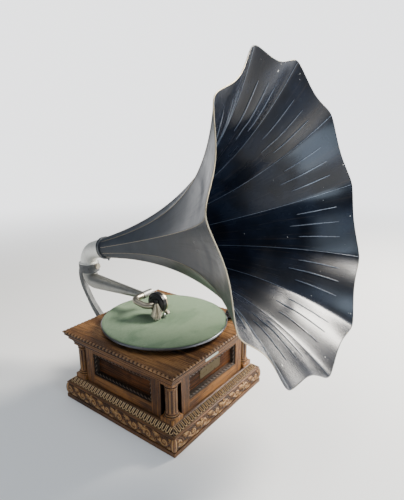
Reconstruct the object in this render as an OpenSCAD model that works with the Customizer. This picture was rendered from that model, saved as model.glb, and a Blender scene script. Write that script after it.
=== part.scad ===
// Wind-up horn gramophone with a rear bracket, a fold-back gooseneck and a petal horn.
// Origin: centre of the case's underside. +Z is up, the front of the case faces -Y,
// the bracket stands on the back and the crank on the right (+X) side.

/* [Case] */
// Width and depth of the square top board
board_w = 343; // [330:1:400]
// Thickness of the top board
board_t = 8; // [6:1:12]
// Distance between opposite panel frames, face to face
case_w = 300; // [290:1:320]
// Height of the panel frames
frame_h = 93; // [88:1:130]
// Thickness of a panel frame
frame_t = 22; // [18:1:24]
// Width of a frame's upright stiles
stile_w = 26; // [18:1:34]
// Height of a frame's lower rail
low_rail_h = 24; // [16:1:28]
// Height of a frame's upper rail
top_rail_h = 11; // [8:1:16]
// How far a panel lies behind the face of its frame
panel_recess = 12; // [8:1:13]
// Thickness of a panel
panel_t = 6; // [4:1:7]
// Depth of the groove that a panel's edge sits in
groove_depth = 5; // [3:1:7]
// Width of the moulding around a panel
panel_moulding_w = 8; // [5:1:10]
// Width and depth of the base board
plinth_w = 350; // [345:1:410]
// Thickness of the base board
base_t = 10; // [8:1:14]
// Height of the large carved plinth moulding
plinth_h = 34; // [28:1:44]
// Height of the carved tongue moulding above it
tongue_h = 12; // [9:1:16]
// Height of the stepped cornice
cornice_h = 25; // [20:1:32]
// Side of a column's square block
column_block = 34; // [30:1:36]
// Height of a column's square block
column_block_h = 11; // [8:1:14]
// Diameter of a column's shaft
column_d = 26; // [18:1:27]
// Number of flutes round a column
column_flutes = 12; // [8:1:16]
// Dark gap between a frame and a column's block
column_gap = 8; // [4:1:10]
// Width of the bare plate on the front panel
plate_w = 79; // [60:1:100]
// Height of the bare plate on the front panel
plate_h = 23; // [16:1:30]

/* [Turntable] */
// Diameter of the platter
platter_d = 304.8; // [250:0.1:310]
// Height of the platter's rim
platter_rim_h = 7; // [6:0.5:10]
// Thickness of the platter's sheet
platter_t = 2; // [1.5:0.1:3]
// Gap between the top board and the platter's rim
platter_lift = 11; // [9:0.5:15]
// Thickness of the felt
felt_t = 1.2; // [0.8:0.1:2]
// Diameter of the spindle where the record sits
spindle_d = 7.2; // [7:0.01:7.24]
// Height of the spindle above the felt
spindle_tip_h = 12; // [10:0.5:13]
// Diameter of the spindle inside the motor
spindle_shaft_d = 9; // [8:0.5:10]
// Distance of the spindle in front of the case's centre
spindle_offset = 3.4; // [0:0.1:8]

/* [Tonearm] */
// Distance of the tonearm's pivot behind the case's centre
pivot_y = 268; // [262:1:280]
// Height of the tonearm's centre line above the top board
arm_rise = 60; // [58:1:66]
// Diameter of the tonearm at its pivot end
arm_back_d = 40; // [34:1:42]
// Diameter of the tonearm at its front end
arm_front_d = 17.5; // [17:0.5:20]
// Wall of the tonearm's tube
arm_wall = 1.5; // [1:0.1:2]
// Radius of the bend below the pivot
arm_bend_r = 26; // [24:1:28]
// Distance from the pivot to the gooseneck's folding axis
fold_reach = 202; // [198:1:210]
// Diameter of the gooseneck tube
gooseneck_d = 15; // [13:0.5:16]
// Bore of the gooseneck tube
gooseneck_bore = 12; // [10:0.5:12.5]
// Radius of the gooseneck's two bends
gooseneck_bend_r = 16; // [14:1:17]
// Distance from the folding axis forward to the soundbox's centre
soundbox_reach = 49; // [47:1:54]
// Drop of the soundbox's centre below the folding axis
soundbox_drop = 7; // [5:0.5:8]
// Diameter of the soundbox
soundbox_d = 53; // [48:1:54]
// Thickness of the soundbox's metal body
soundbox_t = 16; // [12:0.5:17]
// Radial clearance of a running fit
run_clear = 0.05; // [0.02:0.01:0.1]
// Radial clearance of a fixed fit
seat_clear = 0.02; // [0.01:0.01:0.05]
// Number of bristles in the brush
bristles = 320; // [300:1:420]

/* [Bracket] */
// Outer diameter of the bracket's ring
ring_d = 55; // [53:1:58]
// Height of the bracket's ring
ring_h = 23; // [21:0.5:28]
// Width of the bracket's curved arm, side to side
bracket_w = 13; // [10:1:18]
// Thickness of the bracket's curved arm
bracket_t = 13; // [10:1:16]
// Width of the bracket's foot plate
foot_w = 62; // [50:1:80]
// Height of the bracket's foot plate
foot_h = 76; // [66:1:84]
// Thickness of the bracket's foot plate
foot_t = 6; // [5:1:8]

/* [Horn] */
// Number of petals
petals = 11; // [8:1:14]
// Diameter of the mouth across the petal tips
mouth_d = 587; // [480:1:600]
// Length of the flared part along its axis
flare_len = 543.5; // [500:0.5:600]
// Length of the straight neck at the small end
horn_neck_len = 12; // [10:1:20]
// Diameter of the small end
throat_d = 54; // [53:0.5:58]
// Sheet thickness
horn_wall = 0.8; // [0.6:0.1:1.5]
// Rise of the horn's axis, in degrees
horn_rise = 14.5; // [5:0.1:20]
// How fast the flare grows towards the mouth
flare_rate = 2.6; // [2.2:0.1:3.2]
// Depth of the hollows between petal tips, as a share of the radius
scallop = 0.08; // [0.04:0.01:0.14]
// How far the mouth faces to the right, in degrees
mouth_turn = 1.6; // [0:0.1:4]
// Angle of the first seam, in degrees from the top
seam_phase = 18.5; // [0:0.1:32.7]
// Outer diameter of the elbow tube
elbow_d = 45; // [42:0.5:47]
// Wall of the elbow tube
elbow_wall = 2.5; // [2:0.5:3]
// Radius of the elbow's bend
elbow_bend_r = 47; // [40:1:52]
// Length of the elbow's straight end before the horn
elbow_straight = 35.5; // [20:0.5:45]

/* [Motor] */
// Tooth size (module) of every wheel
tooth_m = 1; // [0.9:0.05:1.1]
// Teeth of the spring barrel's rim
barrel_teeth = 90; // [84:6:96]
// Teeth of the layshaft's pinion
lay_pinion_teeth = 15; // [14:1:16]
// Teeth of the layshaft's wheel
lay_wheel_teeth = 70; // [66:1:72]
// Teeth of the spindle's pinion
spindle_pinion_teeth = 14; // [12:1:15]
// Teeth of the worm wheel on the spindle
worm_wheel_teeth = 48; // [44:4:52]
// Number of thread starts on the governor's worm
worm_starts = 4; // [3:1:4]
// Teeth of the crank's pinion
crank_pinion_teeth = 16; // [14:1:16]
// Teeth of the crown wheel on the winding arbor
crown_teeth = 48; // [44:4:52]
// Outer diameter of the spring barrel
barrel_d = 78; // [70:1:80]
// Height of the spring barrel
barrel_h = 36; // [30:1:38]
// Height of the crank's axis above the table
crank_z = 116; // [112:1:124]
// Distance from the crank's axis to its grip
crank_throw = 94; // [80:1:96]
// Length of the wooden grip
grip_len = 74; // [60:1:90]
// Largest diameter of the wooden grip
grip_d = 23; // [20:1:24]
// Diameter of the crank's shaft
crank_d = 10; // [8:0.5:11]
// Gap between the lower plate and the base board
motor_lift = 24; // [18:1:30]
// Length of the governor's worm
worm_len = 14; // [12:1:16]
// Distance from the governor's axis to a weight's inner face
weight_r = 10; // [9.5:0.5:12]
// Turns of the mainspring
spring_turns = 6; // [4:1:8]
// Thickness of the mainspring
spring_t = 1.4; // [1:0.1:1.8]
// Width of the bedplate
bed_w = 170; // [160:1:190]
// Depth of the bedplate
bed_d = 190; // [184:1:200]

/* [Hidden] */
$fn = 72;

// Colours
oak = [0.45, 0.28, 0.14];
dark_oak = [0.36, 0.2, 0.1];
nickel = [0.66, 0.64, 0.6];
cast = [0.5, 0.5, 0.49];
steel = [0.6, 0.62, 0.65];
brass = [0.72, 0.58, 0.3];
black = [0.06, 0.06, 0.07];
horn_paint = [0.16, 0.19, 0.24];
felt_green = [0.47, 0.56, 0.46];

// Heights of the case, from the table up
plinth_top = base_t + plinth_h;
frame_z = plinth_top + tongue_h;
frame_top = frame_z + frame_h;
board_z = frame_top + cornice_h;
board_top = board_z + board_t;
opening_low = frame_z + low_rail_h;
opening_top = frame_top - top_rail_h;
crank_seat_r = 6.5;
mitre_gap = 0.05;

// Plan of the case
face = case_w / 2;
inner = face - frame_t;
column_c = face - 11;
frame_half = column_c - column_block / 2 - column_gap + 5;
opening_half = frame_half - stile_w;
post_w = 12;
panel_y = face - panel_recess;

// Turntable heights
platter_z = board_top + platter_lift;
platter_top = platter_z + platter_rim_h - felt_t + 0.2;
felt_top = platter_top + felt_t;
spindle_y = -spindle_offset;

// Tonearm and soundbox
arm_z = board_top + arm_rise;
fold_y = pivot_y - fold_reach;
neck_r = arm_back_d / 2;
bend_z = arm_z + arm_bend_r;
ring_z = bend_z + 0.4;
ring_top = ring_z + ring_h;
ring_step = ring_z + 11;
nut_h = 2.7;
spigot_r = ring_d / 2 - 3.5;
spigot_len = 9;
cross_r = gooseneck_d / 2 + 1.6;
cross_left = -2;
cross_right = 30;
leg_in = 26;
fold_angle = atan2(soundbox_drop, soundbox_reach);
goose_span = norm([soundbox_reach, soundbox_drop]);
goose_out = 20 + gooseneck_bend_r;
soundbox_y = fold_y - soundbox_reach;
soundbox_z = arm_z - soundbox_drop;
soundbox_r = soundbox_d / 2;
body_x0 = -7;
body_x1 = body_x0 + soundbox_t;
bar_x = body_x1 + 3.5;
needle_gap = 0.3;
needle_tilt = 61;
needle_dir = [0, -cos(needle_tilt), -sin(needle_tilt)];
needle_len = (soundbox_z - felt_top - needle_gap) / sin(needle_tilt);

// Horn elbow and horn axis
elbow_base = ring_top - 2;
flange_t = 1.7;
elbow_turn = 90 - horn_rise;
elbow_end_y = pivot_y - elbow_bend_r * (1 - cos(elbow_turn));
elbow_end_z = elbow_base + elbow_bend_r * sin(elbow_turn);
throat_y = elbow_end_y - elbow_straight * cos(horn_rise);
throat_z = elbow_end_z + elbow_straight * sin(horn_rise);
throat_r = throat_d / 2;
spigot_end_r = throat_r - horn_wall - 0.2;
flare_r = mouth_d / 2;

// Motor layout, all arbors upright
lay_pos = [-0.6, 0.8] * (lay_wheel_teeth + spindle_pinion_teeth) / 2 * tooth_m
    + [0, spindle_y];
barrel_pos = lay_pos + [0.8, 0.6] * (barrel_teeth + lay_pinion_teeth) / 2 * tooth_m;
lower_z = base_t + motor_lift;
plate_t = 4;
bed_t = 5;
bed_z = board_z - bed_t;
lay_wheel_z = lower_z + plate_t + 11;
wheel_t = 4;
barrel_gear_z = lay_wheel_z + 11;
barrel_gear_t = 5;
barrel_z = barrel_gear_z + barrel_gear_t;
barrel_top = barrel_z + barrel_h;
crank_pinion_r = crank_pinion_teeth * tooth_m / 2;
crown_z = crank_z + crank_pinion_r + 2 * tooth_m;
crown_r = crown_teeth * tooth_m / 2;
arbor_r = 5;
worm_wheel_z = 96;
worm_r = 5;
governor_y = spindle_y - (worm_wheel_teeth * tooth_m / 2 + worm_r);
governor_z = worm_wheel_z;
ratchet_z = bed_z - 9;
ratchet_r = 15;
ratchet_teeth = 24;
ratchet_t = 4;
pawl_pos = barrel_pos + [-4, 24];
crank_out = plinth_w / 2 + 14;
crank_arm_t = 8;
crank_hanger_x = 78;
barrel_wall = 1.6;
cover_t = 3;
stud_r = 1.5;

// Governor, along X from its collar to its disc
gov_collar_x = 14;
gov_disc_x = 42;
gov_end_x = 56;
gov_shaft_r = 2.5;
worm_phase = 24;

// Plates, screws and controls
plate_z = (opening_low + opening_top) / 2 + 3;
foot_z = (frame_z + frame_top) / 2 + 1;
screw_r = 2;
bed_y = 16;
pillar_spots = [[-56, -28], [57, -14], [-56, 96], [56, 8]];
brake_pos = [124, -115];
brake_aim = atan2(spindle_y - brake_pos[1], -brake_pos[0]);
brake_reach = norm(brake_pos - [0, spindle_y]) - platter_d / 2 - 0.75;
regulator_pos = [120, 110];
regulator_r = 2.5;

// Thumbscrew that locks the horn's elbow in the ring
thumb_z = ring_top - 4;
thumb_r = 2.2;

// The needle's socket on the stylus bar, measured from the diaphragm's centre
socket_start = soundbox_r + 1;
socket_len = 8;
pivot_at = soundbox_r - 3;
pivot_r = 1;

// Brush
brush_top = [-19, soundbox_y - gooseneck_d / 2 - 5.4, soundbox_z + 12];
brush_low = [-20, soundbox_y - 8.5, felt_top + 0.6];
golden = 137.508;

// Centre line of the bracket's arm as [y, z], from the foot up to the ring
bracket_route = [
    [face + foot_t - 2, foot_z - 2], [182, foot_z + 2], [217, foot_z + 19], [245, 149],
    [264, 171], [280, 195], [294, 219], [301, 243], [pivot_y + ring_d / 2 + 5, ring_z - 4],
    [pivot_y + ring_d / 2 - 3, ring_z + 8]];

// Facets of the bell, and how far the middle of a petal that is flat from seam to seam dips
flare_steps = 22;
across = 6;
seam_gap = 0.03;
flat_dip = 1 - cos(180 / petals);

// One tooth of a wheel as four points; tooth 0 points along +X
function tooth(count, i) = let (
        pitch = 360 / count,
        a = i * pitch,
        r = count * tooth_m / 2,
        root = r - 1.2 * tooth_m,
        tip = r + 0.8 * tooth_m
    ) [
        [root * cos(a - 0.29 * pitch), root * sin(a - 0.29 * pitch)],
        [tip * cos(a - 0.1 * pitch), tip * sin(a - 0.1 * pitch)],
        [tip * cos(a + 0.1 * pitch), tip * sin(a + 0.1 * pitch)],
        [root * cos(a + 0.29 * pitch), root * sin(a + 0.29 * pitch)]
    ];

module toothed(count, height) {
    linear_extrude(height) polygon([for (i = [0:count - 1]) each tooth(count, i)]);
}

module tube(outer, bore, height) {
    difference() {
        cylinder(r = outer, h = height);
        translate([0, 0, -1]) cylinder(r = bore, h = height + 2);
    }
}

// A bar along +X
module bar_x(r, length) {
    rotate([0, 90, 0]) cylinder(r = r, h = length);
}

// Case
// Four mitred strips of one profile, whose points are [distance from centre, height]
module strips(profile) {
    reach = board_w;
    for (k = [0:3]) rotate([0, 0, 90 * k]) intersection() {
        rotate([90, 0, -90]) linear_extrude(2 * reach, center = true) polygon(profile);
        translate([0, -mitre_gap, 0]) linear_extrude(2 * board_top)
            polygon([[0, 0], [-reach, -reach], [reach, -reach]]);
    }
}

module base_board() {
    color(oak) translate([-plinth_w / 2, -plinth_w / 2, 0]) cube([plinth_w, plinth_w, base_t]);
}

module plinth_moulding() {
    edge = plinth_w / 2 - 3;
    bulge = 4;
    low = base_t;
    high = plinth_top - 4;
    ovolo = [for (k = [0:8]) let (a = 180 * k / 8)
        [edge + bulge * sin(a), low + (high - low) * (1 - cos(a)) / 2]];
    color(dark_oak) strips(concat([[inner, low]], ovolo,
        [[edge + 1.5, high + 1], [edge + 1.5, plinth_top - 1], [edge, plinth_top],
         [inner, plinth_top]]));
}

module tongue_moulding() {
    low = plinth_w / 2 - 5;
    high = column_c + column_block / 2 - 1;
    color(dark_oak) strips([[inner, plinth_top], [low, plinth_top], [low, plinth_top + 2],
        [high + (low - high) * 0.55, plinth_top + 0.6 * tongue_h], [high, frame_z],
        [inner, frame_z]]);
}

module on_side(k) {
    rotate([0, 0, 90 * k]) children();
}

// Frames stand on the front, the right and the left; the crank passes the right-hand panel
module frame_board() {
    mid = opening_top - opening_low;
    difference() {
        translate([-frame_half, -face, frame_z]) cube([2 * frame_half, frame_t, frame_h]);
        translate([-opening_half, -face - 1, opening_low])
            cube([2 * opening_half, frame_t + 2, mid]);
        translate([-opening_half - groove_depth, -panel_y, opening_low - groove_depth])
            cube([2 * (opening_half + groove_depth), panel_t, mid + 2 * groove_depth]);
    }
}

module panel_frames() {
    color(oak) for (k = [0, 1, 3]) on_side(k) frame_board();
}

module panel_board() {
    translate([-opening_half - groove_depth, -panel_y, opening_low - groove_depth])
        cube([2 * (opening_half + groove_depth), panel_t,
              opening_top - opening_low + 2 * groove_depth]);
}

module side_panels() {
    color(oak) on_side(0) panel_board();
    color(oak) on_side(3) panel_board();
    color(oak) difference() {
        on_side(1) panel_board();
        translate([0, barrel_pos[1], crank_z]) bar_x(crank_seat_r + seat_clear, case_w);
    }
}

// A mitred frame of triangular moulding round each panel
module panel_moulding() {
    depth = panel_recess - 1;
    w = panel_moulding_w;
    wide = opening_half;
    low = opening_low;
    high = opening_top;
    back = -panel_y;
    difference() {
        translate([-wide, back - depth, low]) cube([2 * wide, depth, high - low]);
        translate([-wide + w, back - depth - 1, low + w])
            cube([2 * (wide - w), depth + 2, high - low - 2 * w]);
        for (s = [-1, 1]) translate([s * (wide - w / 2 + 0.2), back - depth, low - 1])
            linear_extrude(high - low + 2) polygon([[-s * w / 2 - s, -1], [s * w / 2 - s * 1.5, -1],
                [-s * w / 2 - s, depth - 3]]);
        translate([-wide - 1, back - depth, high]) rotate([0, 90, 0])
            linear_extrude(2 * wide + 2) polygon([[w + 1, -1], [1.5, -1], [w + 1, depth - 3]]);
        translate([-wide - 1, back - depth, low]) rotate([0, 90, 0])
            linear_extrude(2 * wide + 2) polygon([[-w - 1, -1], [-1.5, -1], [-w - 1, depth - 3]]);
    }
}

module panel_mouldings() {
    color(dark_oak) for (k = [0, 1, 3]) on_side(k) panel_moulding();
}

module back_board() {
    color(oak) difference() {
        translate([-frame_half, inner, frame_z]) cube([2 * frame_half, frame_t, frame_h]);
        foot_screws() translate([0, 0, -15]) cylinder(r = screw_r + seat_clear, h = 17);
    }
}

// Posts inside the corners, notched round the columns' blocks
module corner_posts() {
    notch = column_c - column_block / 2 - seat_clear;
    color(oak) for (k = [0:3]) on_side(k) difference() {
        translate([inner - post_w, inner - post_w, base_t]) cube([post_w, post_w, board_z - base_t]);
        translate([notch, notch, frame_z]) cube([post_w, post_w, frame_h]);
    }
}

module column() {
    base_h = column_block_h;
    r = column_d / 2;
    top_h = 5;
    translate([-column_block / 2, -column_block / 2, 0])
        cube([column_block, column_block, base_h]);
    rotate_extrude() polygon([[0, base_h], [r + 3.5, base_h], [r + 3.5, base_h + 3],
        [r + 1, base_h + 4.5], [r + 2, base_h + 6], [r, base_h + 8], [0, base_h + 8]]);
    translate([0, 0, base_h + 8]) linear_extrude(frame_h - base_h - 8 - top_h - 9) difference() {
        circle(r = r);
        for (i = [0:column_flutes - 1]) rotate(360 * i / column_flutes)
            translate([r + 0.4, 0]) circle(r = 1.9, $fn = 24);
    }
    translate([0, 0, frame_h - top_h - 9]) rotate_extrude() polygon([[0, 0], [r + 1, 0],
        [r + 1.5, 2], [r, 3.5], [r + 0.5, 6], [r + 3, 9], [0, 9]]);
    translate([-r - 3, -r - 3, frame_h - top_h]) cube([2 * r + 6, 2 * r + 6, top_h]);
}

module corner_columns() {
    color(oak) for (sx = [-1, 1], sy = [-1, 1])
        translate([sx * column_c, sy * column_c, frame_z]) column();
}

module cornice() {
    low = column_c + column_d / 2 + 3;
    fascia = 163;
    high = board_w / 2 - 1.5;
    z = frame_top;
    h = cornice_h;
    cove = [for (k = [0:5]) let (a = 90 * k / 5)
        [fascia - (fascia - low - 1) * cos(a), z + 2 + (h * 0.44 - 2) * sin(a)]];
    color(oak) strips(concat([[inner, z], [low, z], [low, z + 2]], cove,
        [[fascia, z + h * 0.7], [fascia + 3, z + h * 0.74], [high, z + h * 0.88], [high, z + h],
         [inner, z + h]]));
}

module top_board() {
    color(oak) difference() {
        translate([-board_w / 2, -board_w / 2, board_z]) cube([board_w, board_w, board_t]);
        translate([0, spindle_y, board_z - 1]) cylinder(r = spindle_shaft_d / 2 + 5, h = board_t + 2);
        bed_screws() translate([0, 0, -1]) cylinder(r = screw_r + seat_clear, h = board_t + 2);
        bed_screws() translate([0, 0, board_t - 2.6])
            cylinder(r1 = screw_r + seat_clear, r2 = screw_r + 3.2, h = 3);
        translate([brake_pos[0], brake_pos[1], board_z - 1]) cylinder(r = 2 + seat_clear, h = board_t + 2);
        at_regulator(board_z - 1) cylinder(r = regulator_r + run_clear, h = board_t + 2);
    }
}

module front_plate() {
    notch = 3;
    color(brass) translate([0, -panel_y, plate_z]) rotate([90, 0, 0]) {
        linear_extrude(1.2) difference() {
            square([plate_w, plate_h], center = true);
            for (sx = [-1, 1], sy = [-1, 1])
                translate([sx * plate_w / 2, sy * plate_h / 2]) circle(r = notch, $fn = 24);
        }
        for (sx = [-1, 1]) translate([sx * (plate_w / 2 - 5), 0, 1.2])
            cylinder(r1 = 1.6, r2 = 1, h = 0.6);
    }
}

// Screws
module bed_screws() {
    for (sx = [-1, 1], sy = [-1, 1])
        translate([sx * (bed_w / 2 - 10), bed_y + sy * (bed_d / 2 - 10), board_z]) children();
}

module foot_screws() {
    for (sx = [-1, 1], sz = [-1, 1])
        translate([sx * (foot_w / 2 - 9), face, foot_z + sz * (foot_h / 2 - 10)])
            rotate([-90, 0, 0]) children();
}

module case_screws() {
    color(steel) bed_screws() {
        translate([0, 0, -bed_t]) cylinder(r = screw_r, h = bed_t + board_t - 2.5);
        translate([0, 0, board_t - 2.5]) cylinder(r1 = screw_r, r2 = screw_r + 2.5, h = 2.5);
    }
    color(steel) foot_screws() {
        translate([0, 0, -14]) cylinder(r = screw_r, h = 14 + foot_t);
        translate([0, 0, foot_t]) cylinder(r1 = 4.5, r2 = 3.2, h = 2.4);
    }
}

module crank_escutcheon() {
    color(brass) translate([panel_y - panel_t, barrel_pos[1], crank_z]) rotate([0, 90, 0]) {
        tube(crank_seat_r, crank_d / 2 + run_clear, panel_t);
        translate([0, 0, panel_t]) tube(12, crank_d / 2 + run_clear, 2.5);
    }
}

// Bracket on the back
function blend_point(p, i, t) = let (
        a = p[max(i - 1, 0)],
        b = p[i],
        c = p[i + 1],
        d = p[min(i + 2, len(p) - 1)]
    ) 0.5 * (2 * b + (c - a) * t + (2 * a - 5 * b + 4 * c - d) * t * t
        + (3 * b - a - 3 * c + d) * t * t * t);

function smooth_route(p, n) = [
    for (i = [0:len(p) - 2], k = [0:n - 1]) blend_point(p, i, k / n),
    p[len(p) - 1]];

function side_of(p, i, w) = let (
        a = p[max(i - 1, 0)],
        b = p[min(i + 1, len(p) - 1)],
        d = (b - a) / norm(b - a)
    ) p[i] + w * [-d[1], d[0]];

module horn_bracket() {
    route = smooth_route(bracket_route, 4);
    last = len(route) - 1;
    outline = concat(
        [for (i = [0:last]) side_of(route, i, bracket_t / 2 * (2.2 - 1.2 * min(1, i / 18)))],
        [for (i = [last:-1:0]) side_of(route, i, -bracket_t / 2 * (2.2 - 1.2 * min(1, i / 18)))]);
    color(cast) difference() {
        union() {
            rotate([90, 0, 90]) linear_extrude(bracket_w, center = true) polygon(outline);
            translate([-foot_w / 2, face, foot_z - foot_h / 2]) cube([foot_w, foot_t, foot_h]);
            translate([0, pivot_y, ring_z]) cylinder(r = ring_d / 2, h = ring_h);
        }
        translate([0, pivot_y, ring_z - 1]) cylinder(r = neck_r + run_clear, h = ring_h + 2);
        translate([0, pivot_y, ring_step]) cylinder(r = spigot_r + run_clear, h = ring_h);
        translate([0, pivot_y, thumb_z]) rotate([90, 0, 0])
            cylinder(r = thumb_r + run_clear, h = ring_d);
        foot_screws() translate([0, 0, -1]) cylinder(r = screw_r + seat_clear, h = foot_t + 2);
        translate([-foot_w, face - 20, foot_z - foot_h]) cube([2 * foot_w, 20, 2 * foot_h]);
    }
}

module elbow_thumbscrew() {
    color(nickel) translate([0, pivot_y - spigot_r - 0.4, thumb_z]) rotate([90, 0, 0]) {
        cylinder(r = thumb_r, h = 9);
        translate([0, 0, 9]) cylinder(r1 = 4, r2 = 7.5, h = 2);
        difference() {
            translate([0, 0, 11]) cylinder(r = 7.5, h = 4);
            for (i = [0:11]) rotate(30 * i) translate([8.1, 0, 10]) cylinder(r = 1.2, h = 6, $fn = 24);
        }
    }
}

// Turntable
module platter() {
    r = platter_d / 2;
    hub = spindle_shaft_d / 2 + seat_clear;
    color(nickel) translate([0, spindle_y, 0]) rotate_extrude($fn = 180) polygon([
        [hub, board_top + 4], [hub + 6, board_top + 4], [hub + 9, platter_top - platter_t],
        [r - 4, platter_top - platter_t], [r - 3, platter_z], [r - 1, platter_z],
        [r, platter_z + 1.5], [r, platter_top - 1], [r - 1, platter_top],
        [hub, platter_top]]);
}

module platter_felt() {
    color(felt_green) translate([0, spindle_y, platter_top]) difference() {
        cylinder(r = platter_d / 2 - 1, h = felt_t, $fn = 180);
        translate([0, 0, -1]) cylinder(r = spindle_shaft_d / 2 + 0.1, h = felt_t + 2);
    }
}

module spindle() {
    r = spindle_d / 2;
    shaft = spindle_shaft_d / 2;
    low = lower_z + 1.1;
    color(steel) translate([0, spindle_y, 0]) {
        rotate_extrude() polygon([[0, low - 2], [1.5, low], [3, low + 1], [3, lay_wheel_z - 4],
            [shaft, lay_wheel_z - 4], [shaft, felt_top], [r, felt_top],
            [r, felt_top + spindle_tip_h - 4], [r * 0.86, felt_top + spindle_tip_h - 1.6],
            [r * 0.5, felt_top + spindle_tip_h - 0.4], [0, felt_top + spindle_tip_h]]);
        translate([0, 0, lay_wheel_z - 2])
            rotate(atan2(lay_pos[1] - spindle_y, lay_pos[0]) + 180 / spindle_pinion_teeth)
                toothed(spindle_pinion_teeth, wheel_t + 4);
    }
}

module worm_wheel() {
    shaft = spindle_shaft_d / 2;
    color(brass) translate([0, spindle_y, worm_wheel_z]) difference() {
        union() {
            translate([0, 0, -1]) rotate(-90) toothed(worm_wheel_teeth, 2);
            translate([0, 0, -6]) cylinder(r = shaft + 5, h = 9);
        }
        translate([0, 0, -7]) cylinder(r = shaft + seat_clear, h = 12);
        for (i = [0:3]) rotate(45 + 90 * i) translate([15.5, 0, -2]) cylinder(r = 4, h = 4);
    }
}

// Layshaft between the barrel and the spindle
module layshaft() {
    aim = atan2(barrel_pos[1] - lay_pos[1], barrel_pos[0] - lay_pos[0]);
    color(steel) translate([lay_pos[0], lay_pos[1], 0]) {
        translate([0, 0, lower_z]) cylinder(r = 3, h = bed_z + 3 - lower_z);
        translate([0, 0, barrel_gear_z - 2]) rotate(aim)
            toothed(lay_pinion_teeth, barrel_gear_t + 4);
    }
}

module layshaft_wheel() {
    aim = atan2(spindle_y - lay_pos[1], -lay_pos[0]);
    color(brass) translate([lay_pos[0], lay_pos[1], lay_wheel_z]) difference() {
        union() {
            rotate(aim) toothed(lay_wheel_teeth, wheel_t);
            cylinder(r = 8, h = wheel_t + 3);
        }
        translate([0, 0, -1]) cylinder(r = 3 + seat_clear, h = wheel_t + 6);
        for (i = [0:4]) rotate(72 * i) translate([20, 0, -1]) cylinder(r = 7, h = wheel_t + 2);
    }
}

// Spring barrel and winding
module spring_barrel() {
    aim = atan2(lay_pos[1] - barrel_pos[1], lay_pos[0] - barrel_pos[0]);
    color(brass) translate([barrel_pos[0], barrel_pos[1], 0]) difference() {
        union() {
            translate([0, 0, barrel_gear_z]) rotate(aim + 180 / barrel_teeth)
                toothed(barrel_teeth, barrel_gear_t);
            translate([0, 0, barrel_z]) cylinder(r = barrel_d / 2, h = barrel_h - cover_t);
        }
        translate([0, 0, barrel_z]) cylinder(r = barrel_d / 2 - barrel_wall, h = barrel_h);
        translate([0, 0, barrel_gear_z - 1]) cylinder(r = arbor_r + run_clear, h = barrel_h);
    }
}

module barrel_cover() {
    color(brass) translate([barrel_pos[0], barrel_pos[1], barrel_top - cover_t])
        tube(barrel_d / 2, arbor_r + run_clear, cover_t);
}

// A point on the mainspring's spiral, from just off the arbor to just off the barrel's wall
function spiral(a, w) = let (
        start = arbor_r + 0.3,
        end = barrel_d / 2 - barrel_wall - spring_t - 0.3,
        r = start + (end - start) * a / (360 * spring_turns) + w
    ) [r * cos(a), r * sin(a)];

module mainspring() {
    steps = spring_turns * 24;
    color(steel) translate([barrel_pos[0], barrel_pos[1], barrel_z + 0.3])
        linear_extrude(barrel_h - cover_t - 0.6)
        polygon(concat([for (i = [0:steps]) spiral(15 * i, 0)],
            [for (i = [steps:-1:0]) spiral(15 * i, spring_t)]));
}

module winding_arbor() {
    color(steel) translate([barrel_pos[0], barrel_pos[1], lower_z]) {
        cylinder(r = 3, h = bed_z + 3 - lower_z);
        translate([0, 0, plate_t + 0.5]) cylinder(r = arbor_r, h = bed_z - lower_z - plate_t - 1);
    }
}

module crown_wheel() {
    color(brass) translate([barrel_pos[0], barrel_pos[1], crown_z]) difference() {
        union() {
            cylinder(r = crown_r + 3, h = 4);
            cylinder(r = 10, h = 8);
            for (i = [0:crown_teeth - 1]) rotate(360 * (i + 0.5) / crown_teeth)
                translate([crown_r - 3, -0.45, -2.7 * tooth_m]) cube([6, 0.9, 2.7 * tooth_m + 1]);
        }
        translate([0, 0, -4]) cylinder(r = arbor_r + seat_clear, h = 14);
    }
}

function ratchet_point(i) = let (a = 360 / ratchet_teeth * i)
    [[ratchet_r * cos(a), ratchet_r * sin(a)],
     [(ratchet_r - 2.5) * cos(a + 2), (ratchet_r - 2.5) * sin(a + 2)]];

module ratchet_wheel() {
    color(steel) translate([barrel_pos[0], barrel_pos[1], ratchet_z]) difference() {
        linear_extrude(ratchet_t) polygon([for (i = [0:ratchet_teeth - 1]) each ratchet_point(i)]);
        translate([0, 0, -1]) cylinder(r = arbor_r + seat_clear, h = ratchet_t + 2);
    }
}

module ratchet_pawl() {
    color(steel) translate([pawl_pos[0], pawl_pos[1], ratchet_z]) difference() {
        linear_extrude(ratchet_t)
            polygon([[-3.5, 3.5], [3.5, 3.5], [5.2, -8.6], [3.6, -8.8], [-3.5, -3]]);
        translate([0, 0, -1]) cylinder(r = stud_r + run_clear, h = ratchet_t + 2);
    }
}

// Governor
module at_governor() {
    translate([0, governor_y, governor_z]) children();
}

// Cross-section of the worm: one tooth for each thread start
function worm_section() = [
    for (s = [0:worm_starts - 1], q = [[-22, -1.3], [-12, 0.8], [12, 0.8], [22, -1.3]]) let (
        a = 360 * s / worm_starts + q[0],
        r = worm_r + q[1] * tooth_m
    ) [r * cos(a), r * sin(a)]];

module governor_shaft() {
    lead = worm_starts * PI * tooth_m;
    color(steel) at_governor() rotate([0, 90, 0]) {
        translate([0, 0, -worm_len / 2]) difference() {
            rotate(worm_phase) linear_extrude(worm_len, twist = -360 * worm_len / lead, slices = 28)
                polygon(worm_section());
            translate([0, 0, -1]) cylinder(r = gov_shaft_r, h = worm_len + 2);
        }
        translate([0, 0, -18]) cylinder(r = gov_shaft_r, h = gov_end_x + 18);
        translate([0, 0, gov_collar_x]) cylinder(r = 6.5, h = 5);
    }
}

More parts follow.
